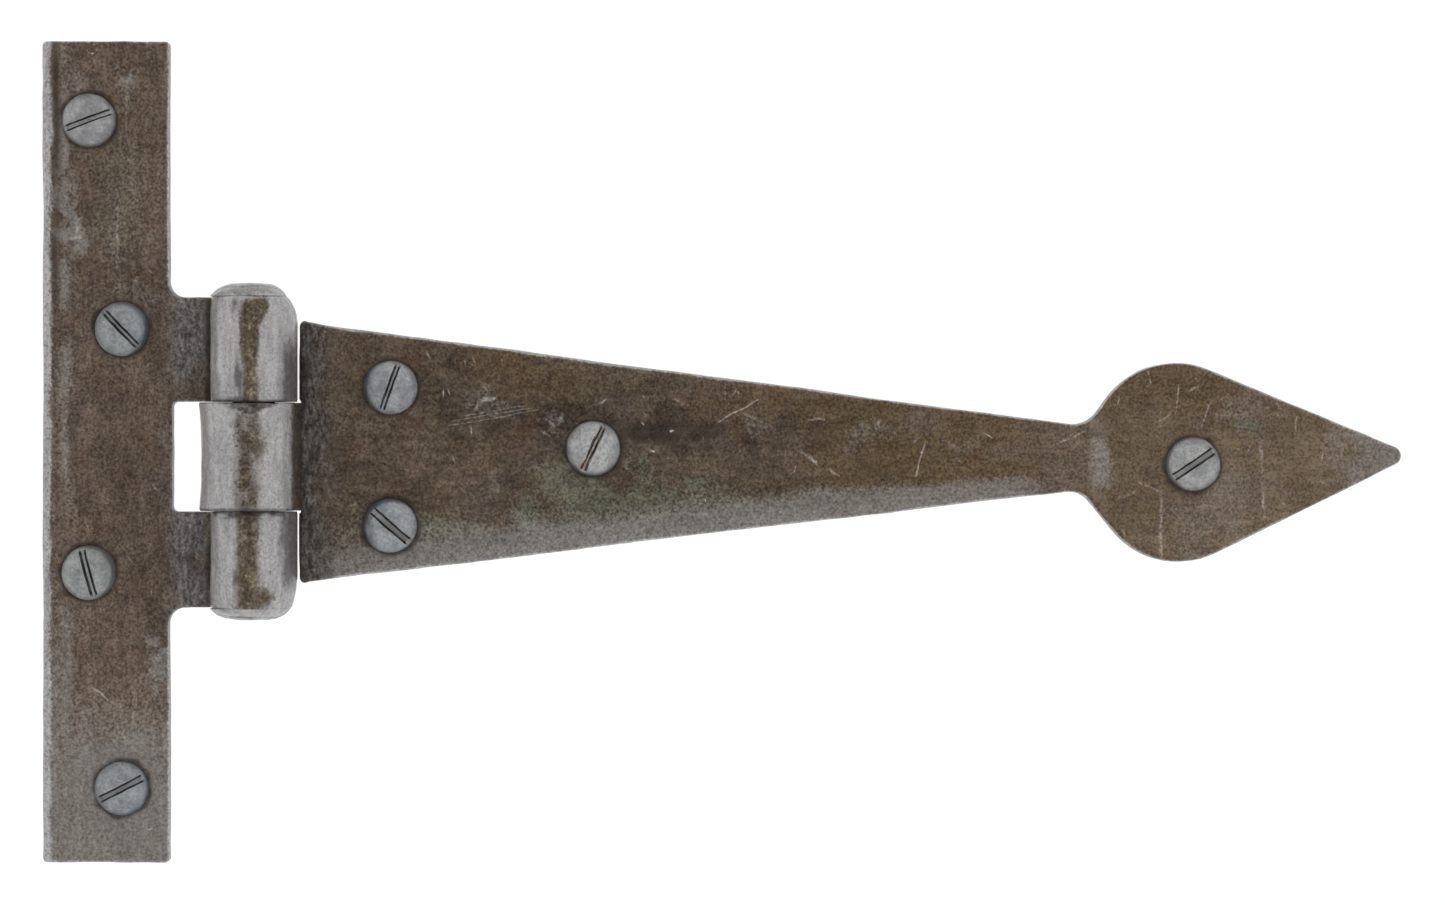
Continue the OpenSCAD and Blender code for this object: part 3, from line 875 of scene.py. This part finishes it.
def paint_strap(ob, marks):
    """Masks for the strap's material. up runs from -1 to 1 across the blade."""
    p = points_of(ob)
    x, z = p[:, 0], p[:, 2]
    flat = ramp(-p[:, 1], 1.2, 2.2) * ramp(x, 27.2, 27.6)
    root = (1 - ramp(x + 0.8 * noise(p, (2, 2, 3), 220), 29.5, 33.5)) * ramp(x, 27.0, 27.4)
    barrels = 1 - ramp(x, 26.2, 26.9)
    up = z / np.interp(x, [27.4, 60, 100, 137], [18.3, 13.2, 7.2, 4.2])  # by the blade's half width

    tone = 0.38 + 0.1 * noise(p, (7, 5, 5), 221) + 0.45 * ramp(x, 85, 178)
    tone -= 0.2 * np.exp(-((up - 0.35) / 0.35) ** 2) * ramp(x, 36, 55) * (1 - ramp(x, 100, 125))
    tone += 0.1 * patch(p, 48, -1, 9, 4, 222) + 0.5 * patch(p, 178, 0, 8, 6, 223)
    tone += 0.2 * patch(p, 157, -8, 12, 8, 250) - 0.25 * patch(p, 152, 9, 9, 4, 224)
    # Painted sheen along the blade's lower edge, and a painted highlight over the step to the spade; the
    # rest is pale bloom.
    lower = ramp(-up + 0.1 * noise(p, (4, 2, 2), 223), 0.45, 1.0) * (1 - ramp(x, 126, 137))
    haze = most(
        0.8 * lower * ramp(x, 24, 34), 0.4 * patch(p, 157, -9, 10, 7, 224),
        0.65 * patch(p, 178, 0, 7, 5, 246), 0.6 * patch(p, STEP_X + 0.4, -1.7, 2.0, 5.5, 225, 0.3),
        patches(p, [(x0, z0, 1.6 * size, size, 0.4) for x0, z0, size in STRAP_HAZE], 226, 0.9),
    )
    green = most(
        0.8 * patch(p, 67, -7.5, 13, 6, 234, 0.8), 0.85 * patch(p, 47, -11.5, 8, 3, 235),
        0.6 * patch(p, 84, -7, 9, 2.6, 249), 0.6 * patch(p, 161, 4, 2.6, 1.8, 236),
        0.3 * patch(p, 34, -11, 3, 4, 237),
    )
    blade_end = ramp(x, 85, 110) * (1 - 0.5 * ramp(x, 136, 145))
    olive = most(
        0.6 * ramp(up, 0.2, 0.8) * ramp(noise(p, (9, 5, 5), 238), -0.6, 0.5),
        0.8 * patch(p, 101, 6.6, 9, 2.0, 239), 0.9 * patch(p, 152, 9, 10, 5, 247),
        0.9 * blade_end * ramp(noise(p, (5, 4, 4), 243), -0.9, 0.1),
    )

    across = x - PIN_X + 0.35 * noise(p, (2, 2, 3), 240) + 0.15 * noise(p, 0.8, 244)
    right = 1.2 + np.exp(-(((z - 1.5) / 3.5) ** 2))
    # Down the eye's middle, which faces the front, brown with a painted dark reflection.
    brown = between(across, -2.0, right, 1.1) * (0.58 + 0.3 * noise(p, (1.2, 1.2, 2), 248))
    # Painted shade in the broken-out place at the eye's top and at the eye's ends where it meets the
    # knuckles; shaded is painted shade on the eye's turned-away right flank.
    notch_shade = broken_out(p, z) * (0.65 + 0.7 * noise(p, (0.6, 0.6, 0.4), 245))
    ends = most(near_end(z, EYE[0], 0.5), near_end(z, EYE[1], 0.25), notch_shade)
    shaded = ramp(across, 4.6, 6.2)

    # The dark mask is painted shade: round the screw heads, at the root beside the knuckles, at the eye's
    # ends and on its right flank; it also holds a darker patch on the blade.
    dark = most(
        0.75 * screw_shadow(p, STRAP_SCREWS, 232) * flat, 0.5 * patch(p, 76, 2.5, 9, 2.0, 233),
        0.85 * root * (1 - ramp(x + 0.5 * noise(p, (1, 1, 2), 242), 28.0, 29.6)),
        barrels * ends, 0.55 * shaded * (1 - ramp(x, 27, 27.5)),
    )
    # The barrels' pale sides: bare metal with painted sheen, a little dimmer on the right flank.
    bare_and_sheen = barrels * (1 - brown) * (1 - 0.2 * shaded)
    set_masks(ob, tone=tone, back=ramp(p[:, 1], -0.6, -0.1), haze=haze * flat, dark=dark,
              worn=most(bare_and_sheen, 0.95 * rim_of(ob, p) * ramp(x, 27, 27.6)), olive=olive * flat,
              crackle=root * flat * ramp(noise(p, (1.5, 1.5, 4), 241), -0.9, 0.2), green=green * flat,
              brown=brown * barrels, scratch=marks.strength(p[:, [0, 2]]) * flat)


def make_plate():
    marks = Marks(PLATE_MARKS + small_nicks("plate_leaf", 60, 5))
    slab = leaf_slab("plate_slab", "plate_leaf", plate_front, plate_waver, 91, marks)
    knuckles = [
        barrel(name, (PIN_X, PIN_Y), KNUCKLE_R, *span, BORE_R, knuckle_shape(*span, seed, taper, at_top))
        for name, span, seed, taper, at_top in (
            ("upper_knuckle", UPPER_KNUCKLE, 31, TOP_TAPER, True),
            ("lower_knuckle", LOWER_KNUCKLE, 32, BOTTOM_TAPER, False),
        )
    ]
    plate = combined("cross_plate", "UNION", slab, *knuckles)
    paint_plate(plate, marks)
    return plate


def make_strap():
    marks = Marks(STRAP_MARKS + small_nicks("strap_leaf", 130, 6))
    slab = leaf_slab("strap_slab", "strap_leaf", strap_front, strap_waver, 92, marks)
    eye = barrel("strap_eye", (EYE_X, -EYE_R), EYE_R, *EYE, EYE_BORE_R, eye_shape)
    strap = combined("arrow_strap", "UNION", slab, eye)
    paint_strap(strap, marks)
    return strap


# ---- rivet pin

PIN_SIDES, DOME_ROWS, SHAFT_ROWS = 120, 32, 60


def fold_across(p, seed):
    """Distance across the fold that peening left in a head. The metal beyond it stands higher."""
    dx, dy = p[:, 0] - PIN_X, p[:, 1] - PIN_Y
    return dy + 3.7 - 0.14 * (dx + 0.7) ** 2 + 0.3 * noise(p, 1.5, seed)


def dome_rows(turns, z_end, height, sign, taper, seed):
    """Rings of a hammered head from its crown out to its rim, then in under it to the shaft."""
    rim = KNUCKLE_R - end_taper(turns, taper[2], taper) - 0.12 + 0.35 * ramp(-np.cos(turns), 0.3, 1)
    rows = []
    for t in 1 - (1 - np.linspace(0.04, 1, DOME_ROWS)) ** 1.3:
        r = rim * t
        z = height * (1 - t**3.4) ** 0.8 * np.ones(len(turns))
        p = around(turns, z, r)
        facets = ridged(p, (3.2, 3.2, 3.2), seed) - 0.6
        z = z + (0.15 * facets + 0.06 * noise(p, 1.2, seed + 1)) * (1 - t**5)
        fold = fold_across(p, seed + 2)
        z += (0.12 * ramp(fold, -0.1, 0.1) - 0.16 * np.exp(-((fold / 0.16) ** 2))) * (1 - t**8)
        rows.append(np.column_stack([p[:, 0], p[:, 1], z_end + sign * np.maximum(z, 0.04)]))
    rows.append(around(turns, z_end + sign * 0.02, rim))
    return rows


def paint_pin(ob):
    p = points_of(ob)
    fold = fold_across(p, 37) + 0.3 * noise(p, (1.2, 1.2, 0.6), 246)
    brown = between(fold, -1.7, -0.1) * between(p[:, 0] - PIN_X, -3.0, 3.0, 0.8) * (p[:, 2] > 0)
    # The crease along the fold gets painted shade, and the rest pale metal with painted sheen.
    set_masks(ob, tone=0.6, dark=0.6 * np.exp(-((fold / 0.2) ** 2)), brown=0.4 * brown,
              worn=1 - 0.4 * brown)


def make_pin():
    turns = full_turn(PIN_SIDES)
    low, high = LOWER_KNUCKLE[0], UPPER_KNUCKLE[1]
    top = dome_rows(turns, high, PIN_HI[2] - high, 1, TOP_TAPER, 35)
    bottom = dome_rows(turns, low, low - PIN_LO[2], -1, BOTTOM_TAPER, 37)
    shaft = [around(turns, z, PIN_R) for z in np.linspace(high + 0.02, low - 0.02, SHAFT_ROWS)]
    pin = turned_mesh("rivet_pin", [*top, *shaft, *bottom[::-1]])
    paint_pin(pin)
    return pin


# ---- wood screws

HEAD_R = 3.8
HEAD_H = 2.1
SLOT_DEPTH = 0.45  # down to the worn floor
CREVICE = 0.7  # from there to the bottom of the crevice along each wall
NECK_R, SHANK_R, THREAD_ROOT_R = 2.27, 2.05, 1.4
NECK_END, SHANK_END, POINT_L, PITCH = 2.8, 8.5, 5.1, 1.7
HEAD_SIDES, HEAD_ROWS, SLOT_ROWS, SHANK_SIDES, THREAD_ROWS = 150, 44, 59, 40, 150

# Each head's slot turn from level, the side it leans down to and its lean, all in degrees; its slot's
# width; whether a ridge splits the slot; then how dark its slot floor is, and how blue, green, pale and
# rusty it is, 0 to 1
Head = namedtuple("Head", "slot_turn low_side lean slot_w ridge floor cool green pale rust")
HEADS = {
    "plate_screw_top": Head(20, 280, 3, 0.95, False, 0.0, 0.1, 0.0, 0.25, 0.1),
    "plate_screw_upper": Head(-46, 25, 6, 0.95, True, 0.5, 0.7, 0.5, 0.2, 0.1),
    "plate_screw_lower": Head(-75, 20, 8, 1.05, True, 0.5, 0.1, 0.8, 0.4, 0.0),
    "plate_screw_bottom": Head(27, 330, 2, 1.05, False, 0.6, 0.6, 0.1, 0.1, 0.0),
    "strap_screw_root_upper": Head(70, 185, 6, 0.85, True, 0.2, 0.45, 0.0, 0.3, 0.0),
    "strap_screw_root_lower": Head(-41, 135, 6, 1.2, False, 0.7, 0.75, 0.1, 0.45, 0.2),
    "strap_screw_middle": Head(64, 250, 2, 0.9, True, 0.3, 0.05, 0.0, 0.9, 1.0),
    "strap_screw_spade": Head(34, 180, 4, 1.15, False, 0.6, 0.0, 0.2, 0.7, 0.1),
}


def head_height(rho):
    """Height of a head's dome at a fraction rho of its radius."""
    return HEAD_H * (1 - rho**2.3) ** 0.62


def unit(turn):
    """The direction at turn degrees from level, as x and z."""
    return np.array([math.cos(math.radians(turn)), math.sin(math.radians(turn))])


def screw_head(name, head, seed):
    """Domed head about the origin, rising along -Y from its seat, leaning a little."""
    turns = full_turn(HEAD_SIDES)
    across, up = np.cos(turns), np.sin(turns)
    slot_dir, low_dir = unit(head.slot_turn), unit(head.low_side)
    rows = []
    for rho in 1 - (1 - np.linspace(0.02, 1, HEAD_ROWS)) ** 1.25:
        x, z = HEAD_R * rho * across, HEAD_R * rho * up
        flat = on_leaf(np.column_stack([x, z]))
        shrink = 1 + 0.02 * noise(flat * 0.5 + seed, 1.6, seed) * rho
        y = head_height(min(rho, 0.9995)) * np.ones(len(x)) * shrink
        from_slot = np.abs(-x * slot_dir[1] + z * slot_dir[0])
        burr = np.exp(-((from_slot - head.slot_w / 2 - 0.12) / 0.14) ** 2)
        y += burr * 0.05 * (1 + noise(flat, 0.8, seed + 3)) * (1 - rho**4)
        y += (0.05 * noise(flat, 1.3, seed + 1) + 0.02 * noise(flat, 0.5, seed + 2)) * (1 - rho**6)
        y -= math.tan(math.radians(head.lean)) * (flat[:, [0, 2]] @ low_dir) * (1 - 0.75 * rho**3)
        rows.append(np.column_stack([x * shrink, -np.maximum(y, 0.02), z * shrink]))
    rows += [rows[-1] * np.array([1, 0, 1]), rows[-1] * np.array([0.5, 0, 0.5])]
    return turned_mesh(name, rows)


def slot_cutter(name, head, ragged, seed):
    """The driver slot's space: a bar with a crevice along each side, whose sides wander by ragged mm."""
    rows = []
    along = np.linspace(-HEAD_R - 1, HEAD_R + 1, SLOT_ROWS)
    c, s = unit(head.slot_turn)
    for a in along:
        p = np.array([[a, 0, 0]])
        left, right = (head.slot_w / 2 + ragged * noise(p, 0.9, seed + i)[0] for i in (0, 1))
        surface = head_height(min(abs(a) / HEAD_R, 0.99))
        kept = 1 - ramp(np.array(abs(a)), 0.7 * HEAD_R, 0.97 * HEAD_R)
        floor = SLOT_DEPTH * (0.6 if head.ridge else 1) + 0.6 * ragged * noise(p, 1.5, seed + 2)[0]
        floor = kept * floor - 0.2 * (1 - kept)
        deep = [floor + kept * (CREVICE + 2 * ragged * noise(p, 1.1, seed + i)[0]) for i in (3, 4)]
        bank = 0.4 if head.ridge else 0.6
        ring = [(left, -1.5), (left, deep[0]), (bank * left, deep[0]), (bank * left - 0.05, floor),
                (0, floor), (0.05 - bank * right, floor), (-bank * right, deep[1]), (-right, deep[1]),
                (-right, -1.5)]
        rows += [(a * c - w * s, depth - surface, a * s + w * c) for w, depth in ring]
    sides = len(ring)
    faces = ring_faces(len(along), sides)
    faces += [tuple(range(sides))[::-1], tuple(range(len(rows) - sides, len(rows)))]
    return mesh_object(name, rows, [f[::-1] for f in faces])


def screw_shank(name, length):
    """Neck, plain shank, rolled thread and gimlet point along +Y, with the seat at y = 0."""
    turns = full_turn(SHANK_SIDES)
    depths = [-0.6, 0.0, 2.5, 2.77, 3.0, 4.5, 6.5, *np.linspace(SHANK_END, length - 0.02, THREAD_ROWS)]
    rows = []
    for d in depths:
        r = NECK_R if d < NECK_END else SHANK_R
        if d >= SHANK_END:
            turn = (d - SHANK_END) / PITCH + turns / (2 * math.pi)
            ridge = np.clip(1 - np.abs(turn % 1 - 0.5) / 0.24, 0, 1) ** 0.8
            body = SHANK_R + (THREAD_ROOT_R - SHANK_R) * ramp(np.array(d), SHANK_END, SHANK_END + 0.8)
            r = (body + (SHANK_R - body) * ridge) * min(1.0, (length - d) / POINT_L) + 0.01
        rows.append(around(turns, d, r, (0, 0))[:, [0, 2, 1]])
    return turned_mesh(name, rows, ([0, depths[0], 0], [0, length, 0]))


def paint_screw(ob, head, seed):
    """Masks for a screw that stands about the origin."""
    p = points_of(ob)
    x, y, z = p.T
    rho = np.hypot(x, z) / HEAD_R
    (slot_x, slot_z), low_dir = unit(head.slot_turn), unit(head.low_side)
    low = (p[:, [0, 2]] @ low_dir) / HEAD_R
    in_slot = (np.abs(-x * slot_z + z * slot_x) < head.slot_w / 2 + 0.1) * (rho < 0.97)
    leaned = math.tan(math.radians(head.lean)) * low * HEAD_R * (1 - 0.75 * rho**3)
    depth = y + head_height(np.clip(rho, 0, 0.99)) - leaned
    # A painted shadow crescent round the head's rim, wider on its low side.
    rim = ramp(rho + 0.02 * head.lean * low + 0.05 * noise(p, 1.3, seed + 6), 0.9, 1.02)
    rust = head.rust * in_slot * ramp(noise(p, 0.7, seed + 7), -0.8, 0.1) * (1 - ramp(rho, 0.75, 0.95))
    set_masks(ob, cool=head.cool * (0.6 + 0.5 * ramp(low, -0.6, 0.8)), green=head.green, rust=rust,
              # The rim mask also takes painted shade under the head, by its seat.
              pale=head.pale * (1 - 0.5 * ramp(rho, 0.5, 1)), rim=np.maximum(rim, ramp(y, -0.35, -0.1)),
              # The deepest part of the slot gets painted shade.
              floor=head.floor * in_slot * ramp(depth, 0.15, 0.35), sunk=in_slot * ramp(depth, 0.5, 0.75))


def make_screw(node, seed):
    head = HEADS[node]
    lo, hi = node_box(node)
    seat = (lo + hi) / 2
    seat[1] = lo[1] + HEAD_H
    dome = screw_head(node + "_head", head, seed)
    cutter = slot_cutter(node + "_slot", head, 0.14 if head.rust > 0.5 else 0.035, seed + 5)
    dome = combined(node + "_cut", "DIFFERENCE", dome, cutter)
    shank = screw_shank(node + "_shank", hi[1] - seat[1])
    screw = combined("wood_" + node, "UNION", dome, shank)
    paint_screw(screw, head, seed)
    moved = points_of(screw) + seat
    screw.data.vertices.foreach_set("co", (moved * MM).ravel())
    screw.data.update()
    return screw


# ---- materials


def iron_look(name, deep, pale, fold_deep, fold_pale, grain_run):
    """Old waxed iron: brown scale that mirrors its surroundings, with crackled areas, pale rubbed metal,
    painted sheen on its barrels and edges, a painted dark reflection down the barrels' middles and painted
    shade in creases, gaps and round the screws.

    deep and pale are the ends of its brown, fold_deep and fold_pale those of its crackled areas, and
    grain_run stretches its streaks along x, y and z.
    """
    look = Look(name)
    patchy = look.noise(3.0, 2, detail=4, rough=0.6)
    fine = look.noise(0.8, 3, detail=5, rough=0.75)
    grain = look.noise(0.38, 4, detail=3, rough=0.7)
    streaks = look.noise(0.7, 5, detail=4, rough=0.6, stretch=grain_run)
    specks = look.maths("MULTIPLY_ADD", look.maths("ADD", fine, grain), 1.6, -1.6)

    def broken(name, crumble=1.0):
        """A mask whose soft parts break up into specks."""
        ragged = look.spread(look.maths("MULTIPLY_ADD", specks, crumble, look.mask(name)), 0.1, 0.9)
        return look.times(ragged, look.spread(look.mask(name), 0.0, 0.25))

    tone = look.mask("tone")
    for shift in (patchy, fine):
        tone = look.maths("ADD", tone, look.spread(shift, 0.25, 0.75, -0.22, 0.22))
    olive, haze, worn, dark = broken("olive"), broken("haze", 0.45), broken("worn"), broken("dark")
    brown, crackle = broken("brown", 0.5), look.mask("crackle")
    drawn = look.noise(0.9, 11, detail=3, rough=0.6, stretch=(1, 1, 5))
    dirt = look.noise(1.3, 10, detail=4, rough=0.7)
    flecks = look.spread(look.noise(0.6, 7, detail=3, rough=0.6, stretch=(1, 1, 2.4)), 0.36, 0.68)
    layers = [
        (look.spread(look.noise(6, 6), 0.5, 0.75), 0.5, (84, 70, 70)),
        (look.spread(look.noise(4, 9, detail=2), 0.52, 0.72), 0.4, (98, 70, 48)),
        (olive, 0.6, (94, 74, 48)),
        (broken("green", 0.8), 0.55, (104, 108, 92)),
        # Pale bloom, with painted sheen and a painted highlight on the strap.
        (haze, 0.75, (132, 127, 122)),
        # Pale metal: rubbing, and painted sheen on the barrels and edges.
        (worn, 0.85, look.mix(look.spread(drawn, 0.3, 0.7), (140, 138, 138), (172, 169, 167))),
        # Brown, which down the barrels' middles is a painted dark reflection.
        (brown, 0.9, look.mix(look.spread(dirt, 0.46, 0.68), (82, 71, 59), (132, 119, 98))),
        # Painted shade.
        (dark, 0.8, (46, 40, 40)),
        (crackle, 0.85, look.mix(flecks, fold_deep, fold_pale)),
    ]
    colour = look.mix(tone, deep, pale)
    for layer in layers:
        colour = look.laid(colour, *layer)
    dust = look.spread(look.noise(0.45, 8, detail=1), 0.75, 0.81, 0, 0.45)
    scratch = look.times(look.mask("scratch"), look.spread(grain, 0.3, 0.55, 0.45, 1))
    colour = look.mix(look.most(scratch, dust), colour, (186, 178, 168))
    shade_of = look.times(look.spread(grain, 0.28, 0.72, 0.4, 1.6),
                          look.spread(streaks, 0.25, 0.75, 0.8, 1.2))
    shade_of = look.node("CombineColor", shade_of, shade_of, shade_of).outputs[0]
    smooth = look.most(look.times(worn, 0.55), look.times(haze, 0.35))
    colour = look.mix(look.maths("SUBTRACT", 1.0, smooth), colour, shade_of, "MULTIPLY")

    roughness = look.maths("MULTIPLY_ADD", crackle, 0.06, look.spread(patchy, 0.3, 0.7, 0.2, 0.27))
    matt = look.most(brown, dark, crackle, look.times(olive, 0.4), look.mask("back"))
    gloss = look.maths("MULTIPLY_ADD", matt, -0.2, look.maths("MULTIPLY_ADD", worn, 0.2, 0.3))
    normal = look.bump(grain, 0.014, Normal=look.bump(fine, 0.018))
    normal = look.bump(look.times(crackle, flecks), 0.06, Normal=normal)
    look.finish(colour, roughness, Normal=normal, IOR=1.85, Specular_IOR_Level=gloss)
    return look.material


def screw_look(name):
    """Zinc-grey steel with a dull, handled surface, with painted shade deep in its slot and a painted
    shadow round its rim.
    """
    look = Look(name)
    patchy = look.noise(1.6, 12, detail=4, rough=0.6)
    grain = look.noise(0.45, 13, detail=3, rough=0.7)
    scuffs = look.noise(0.5, 14, detail=3, rough=0.6, stretch=(4, 1, 1), twist=1.5)
    mottle = look.spread(patchy, 0.32, 0.68)
    colour = look.mix(mottle, (104, 102, 101), (154, 151, 148))
    for mask, strength, deep, pale in (
        ("cool", 1.0, (78, 98, 118), (138, 145, 152)),
        ("green", 0.6, (96, 116, 104), (128, 138, 124)),
        ("pale", 0.7, (150, 150, 150), (196, 195, 193)),
    ):
        colour = look.laid(colour, look.mask(mask), strength, look.mix(mottle, deep, pale))
    colour = look.mix(look.spread(grain, 0.42, 0.66, 0.0, 0.6), colour, (80, 79, 78))
    colour = look.mix(look.spread(scuffs, 0.58, 0.74, 0.0, 0.45), colour, (196, 196, 194))
    for mask, strength, by, deep, pale in (
        ("floor", 1.0, grain, (76, 73, 70), (120, 116, 110)),
        # A painted shadow round the rim, bluish where the head is cool.
        ("rim", 0.85, look.mask("cool"), (70, 70, 70), (48, 58, 70)),
        # Painted shade deep in the slot's crevices.
        ("sunk", 1.0, grain, (18, 19, 20), (18, 19, 20)),
        ("rust", 0.85, grain, (70, 48, 32), (150, 118, 84)),
    ):
        colour = look.laid(colour, look.mask(mask), strength, look.mix(by, deep, pale))
    normal = look.bump(grain, 0.05, Normal=look.bump(patchy, 0.06))
    look.finish(colour, look.spread(patchy, 0.3, 0.7, 0.36, 0.5), Normal=normal, IOR=1.9)
    return look.material


# Each iron's deep and pale brown, deep and pale crackle, and how its streaks run
IRONS = {
    "plate_iron": ((61, 49, 41), (119, 103, 89), (80, 76, 75), (130, 126, 125), (1, 1, 12)),
    "strap_iron": ((60, 50, 42), (121, 104, 85), (63, 57, 53), (112, 105, 99), (9, 1, 1)),
    "pin_iron": ((110, 104, 96), (150, 145, 138), (66, 62, 61), (116, 112, 111), (3, 3, 1)),
}
looks = {name: iron_look(name, *iron) for name, iron in IRONS.items()}
looks["screw_steel"] = screw_look("screw_steel")
slots = {"plate_leaf": "plate_iron", "strap_leaf": "strap_iron", "hinge_pin": "pin_iron"}

# ---- pieces

built = [
    (make_plate(), "plate_leaf", "plate"),
    (make_strap(), "strap_leaf", "strap"),
    (make_pin(), "hinge_pin", "plate"),
]
for i, node in enumerate(PLATE_SCREWS + STRAP_SCREWS):
    built.append((make_screw(node, 100 + 10 * i), node, "plate" if node in PLATE_SCREWS else "strap"))
for made, node, body in built:
    slot = slots.get(node, "screw_steel")
    made.data.materials.clear()
    made.data.materials.append(looks[slot])
    shade(made)
    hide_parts(node)
    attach(made, body)

# ---- stage, light and camera

FLOOR_DROP = 30  # the floor's distance below the hinge
FLOOR_SIZE = 20000
FLOOR_LIFT = 0.14  # a little light of its own, so that it is as pale as the backdrop
LENS, SENSOR = 150, 36
CLIP_END = 50  # metres
VIEW_WIDTH = 202.3  # how much of the hinge's plane the picture's width covers
AIM_X, AIM_Z = 0.1, -0.07  # where the camera looks, from the middle of the hinge's box
# How far right the dark opening is, and how far out from there it starts and stops to brighten, in degrees
DARK_OPENING = (-8, 17, 28)
OPENING_REACH = 0.5  # below 1, it reaches further up than sideways
DIM_BACK = (180, 20, 55)  # the same for the dimmer part of the tent, behind the hinge
TENT_LEVEL = 1.3
TENT_TINT = (0.985, 1.0, 1.02, 1)
OPENING_LEVEL = 0.06


def make_stage():
    s, z = FLOOR_SIZE, PLATE_LO[2] - FLOOR_DROP
    floor = mesh_object("floor", [(-s, -s, z), (s, -s, z), (s, s, z), (-s, s, z)], [(0, 1, 2, 3)])
    floor.visible_glossy = False
    look = Look("pale_floor")
    look.finish((0.96, 0.96, 0.96, 1), 1.0, Emission_Color=(1, 1, 1, 1), Emission_Strength=FLOOR_LIFT)
    floor.data.materials.append(look.material)


def make_world():
    """White to the camera. To the hinge, a soft bright tent with a dark opening round the camera."""
    world = bpy.data.worlds.new("studio")
    bpy.context.scene.world = world
    world.use_nodes = True
    look = Look(tree=world.node_tree)
    direction = look.node("TexCoord").outputs["Generated"]

    x, y, z = look.node("SeparateXYZ", direction).outputs
    raised = look.times(look.maths("MAXIMUM", z, 0.0), OPENING_REACH)
    squashed = look.maths("ADD", raised, look.maths("MINIMUM", z, 0.0))
    stretched = look.node("CombineXYZ", x, y, squashed).outputs[0]
    stretched = look.node("VectorMath", stretched, operation="NORMALIZE").outputs[0]

    def clear_of(where, azimuth, low, high):
        a = math.radians(azimuth)
        axis = (math.sin(a), -math.cos(a), 0)
        dot = look.node("VectorMath", where, axis, operation="DOT_PRODUCT").outputs["Value"]
        return look.spread(look.maths("ARCCOSINE", dot), math.radians(low), math.radians(high))

    opening = clear_of(stretched, *DARK_OPENING)
    behind = clear_of(direction, *DIM_BACK)
    tent = look.times(opening, look.maths("MULTIPLY_ADD", behind, 0.5, 0.5))
    level = look.maths("MULTIPLY_ADD", tent, TENT_LEVEL - OPENING_LEVEL, OPENING_LEVEL)
    tinted = look.mix(level, (0, 0, 0, 1), TENT_TINT)
    to_camera = look.node("LightPath").outputs["Is Camera Ray"]
    shade_of = look.mix(to_camera, tinted, (1, 1, 1, 1))
    look.feed(world.node_tree.nodes["Background"].inputs["Color"], shade_of)


def make_camera():
    data = bpy.data.cameras.new("camera")
    data.sensor_width = SENSOR
    data.lens = LENS
    data.clip_end = CLIP_END
    cam = bpy.data.objects.new("camera", data)
    bpy.context.scene.collection.objects.link(cam)
    bpy.context.scene.camera = cam
    lo, hi = np.array(cad_box) / MM
    x, _, z = (lo + hi) / 2
    away = LENS / SENSOR * VIEW_WIDTH + LEAF_T
    cam.location = ((x + AIM_X) * MM, -away * MM, (z + AIM_Z) * MM)
    cam.rotation_euler = (math.radians(90), 0, 0)


make_stage()
make_world()
make_camera()
bpy.context.scene.view_settings.view_transform = "Standard"
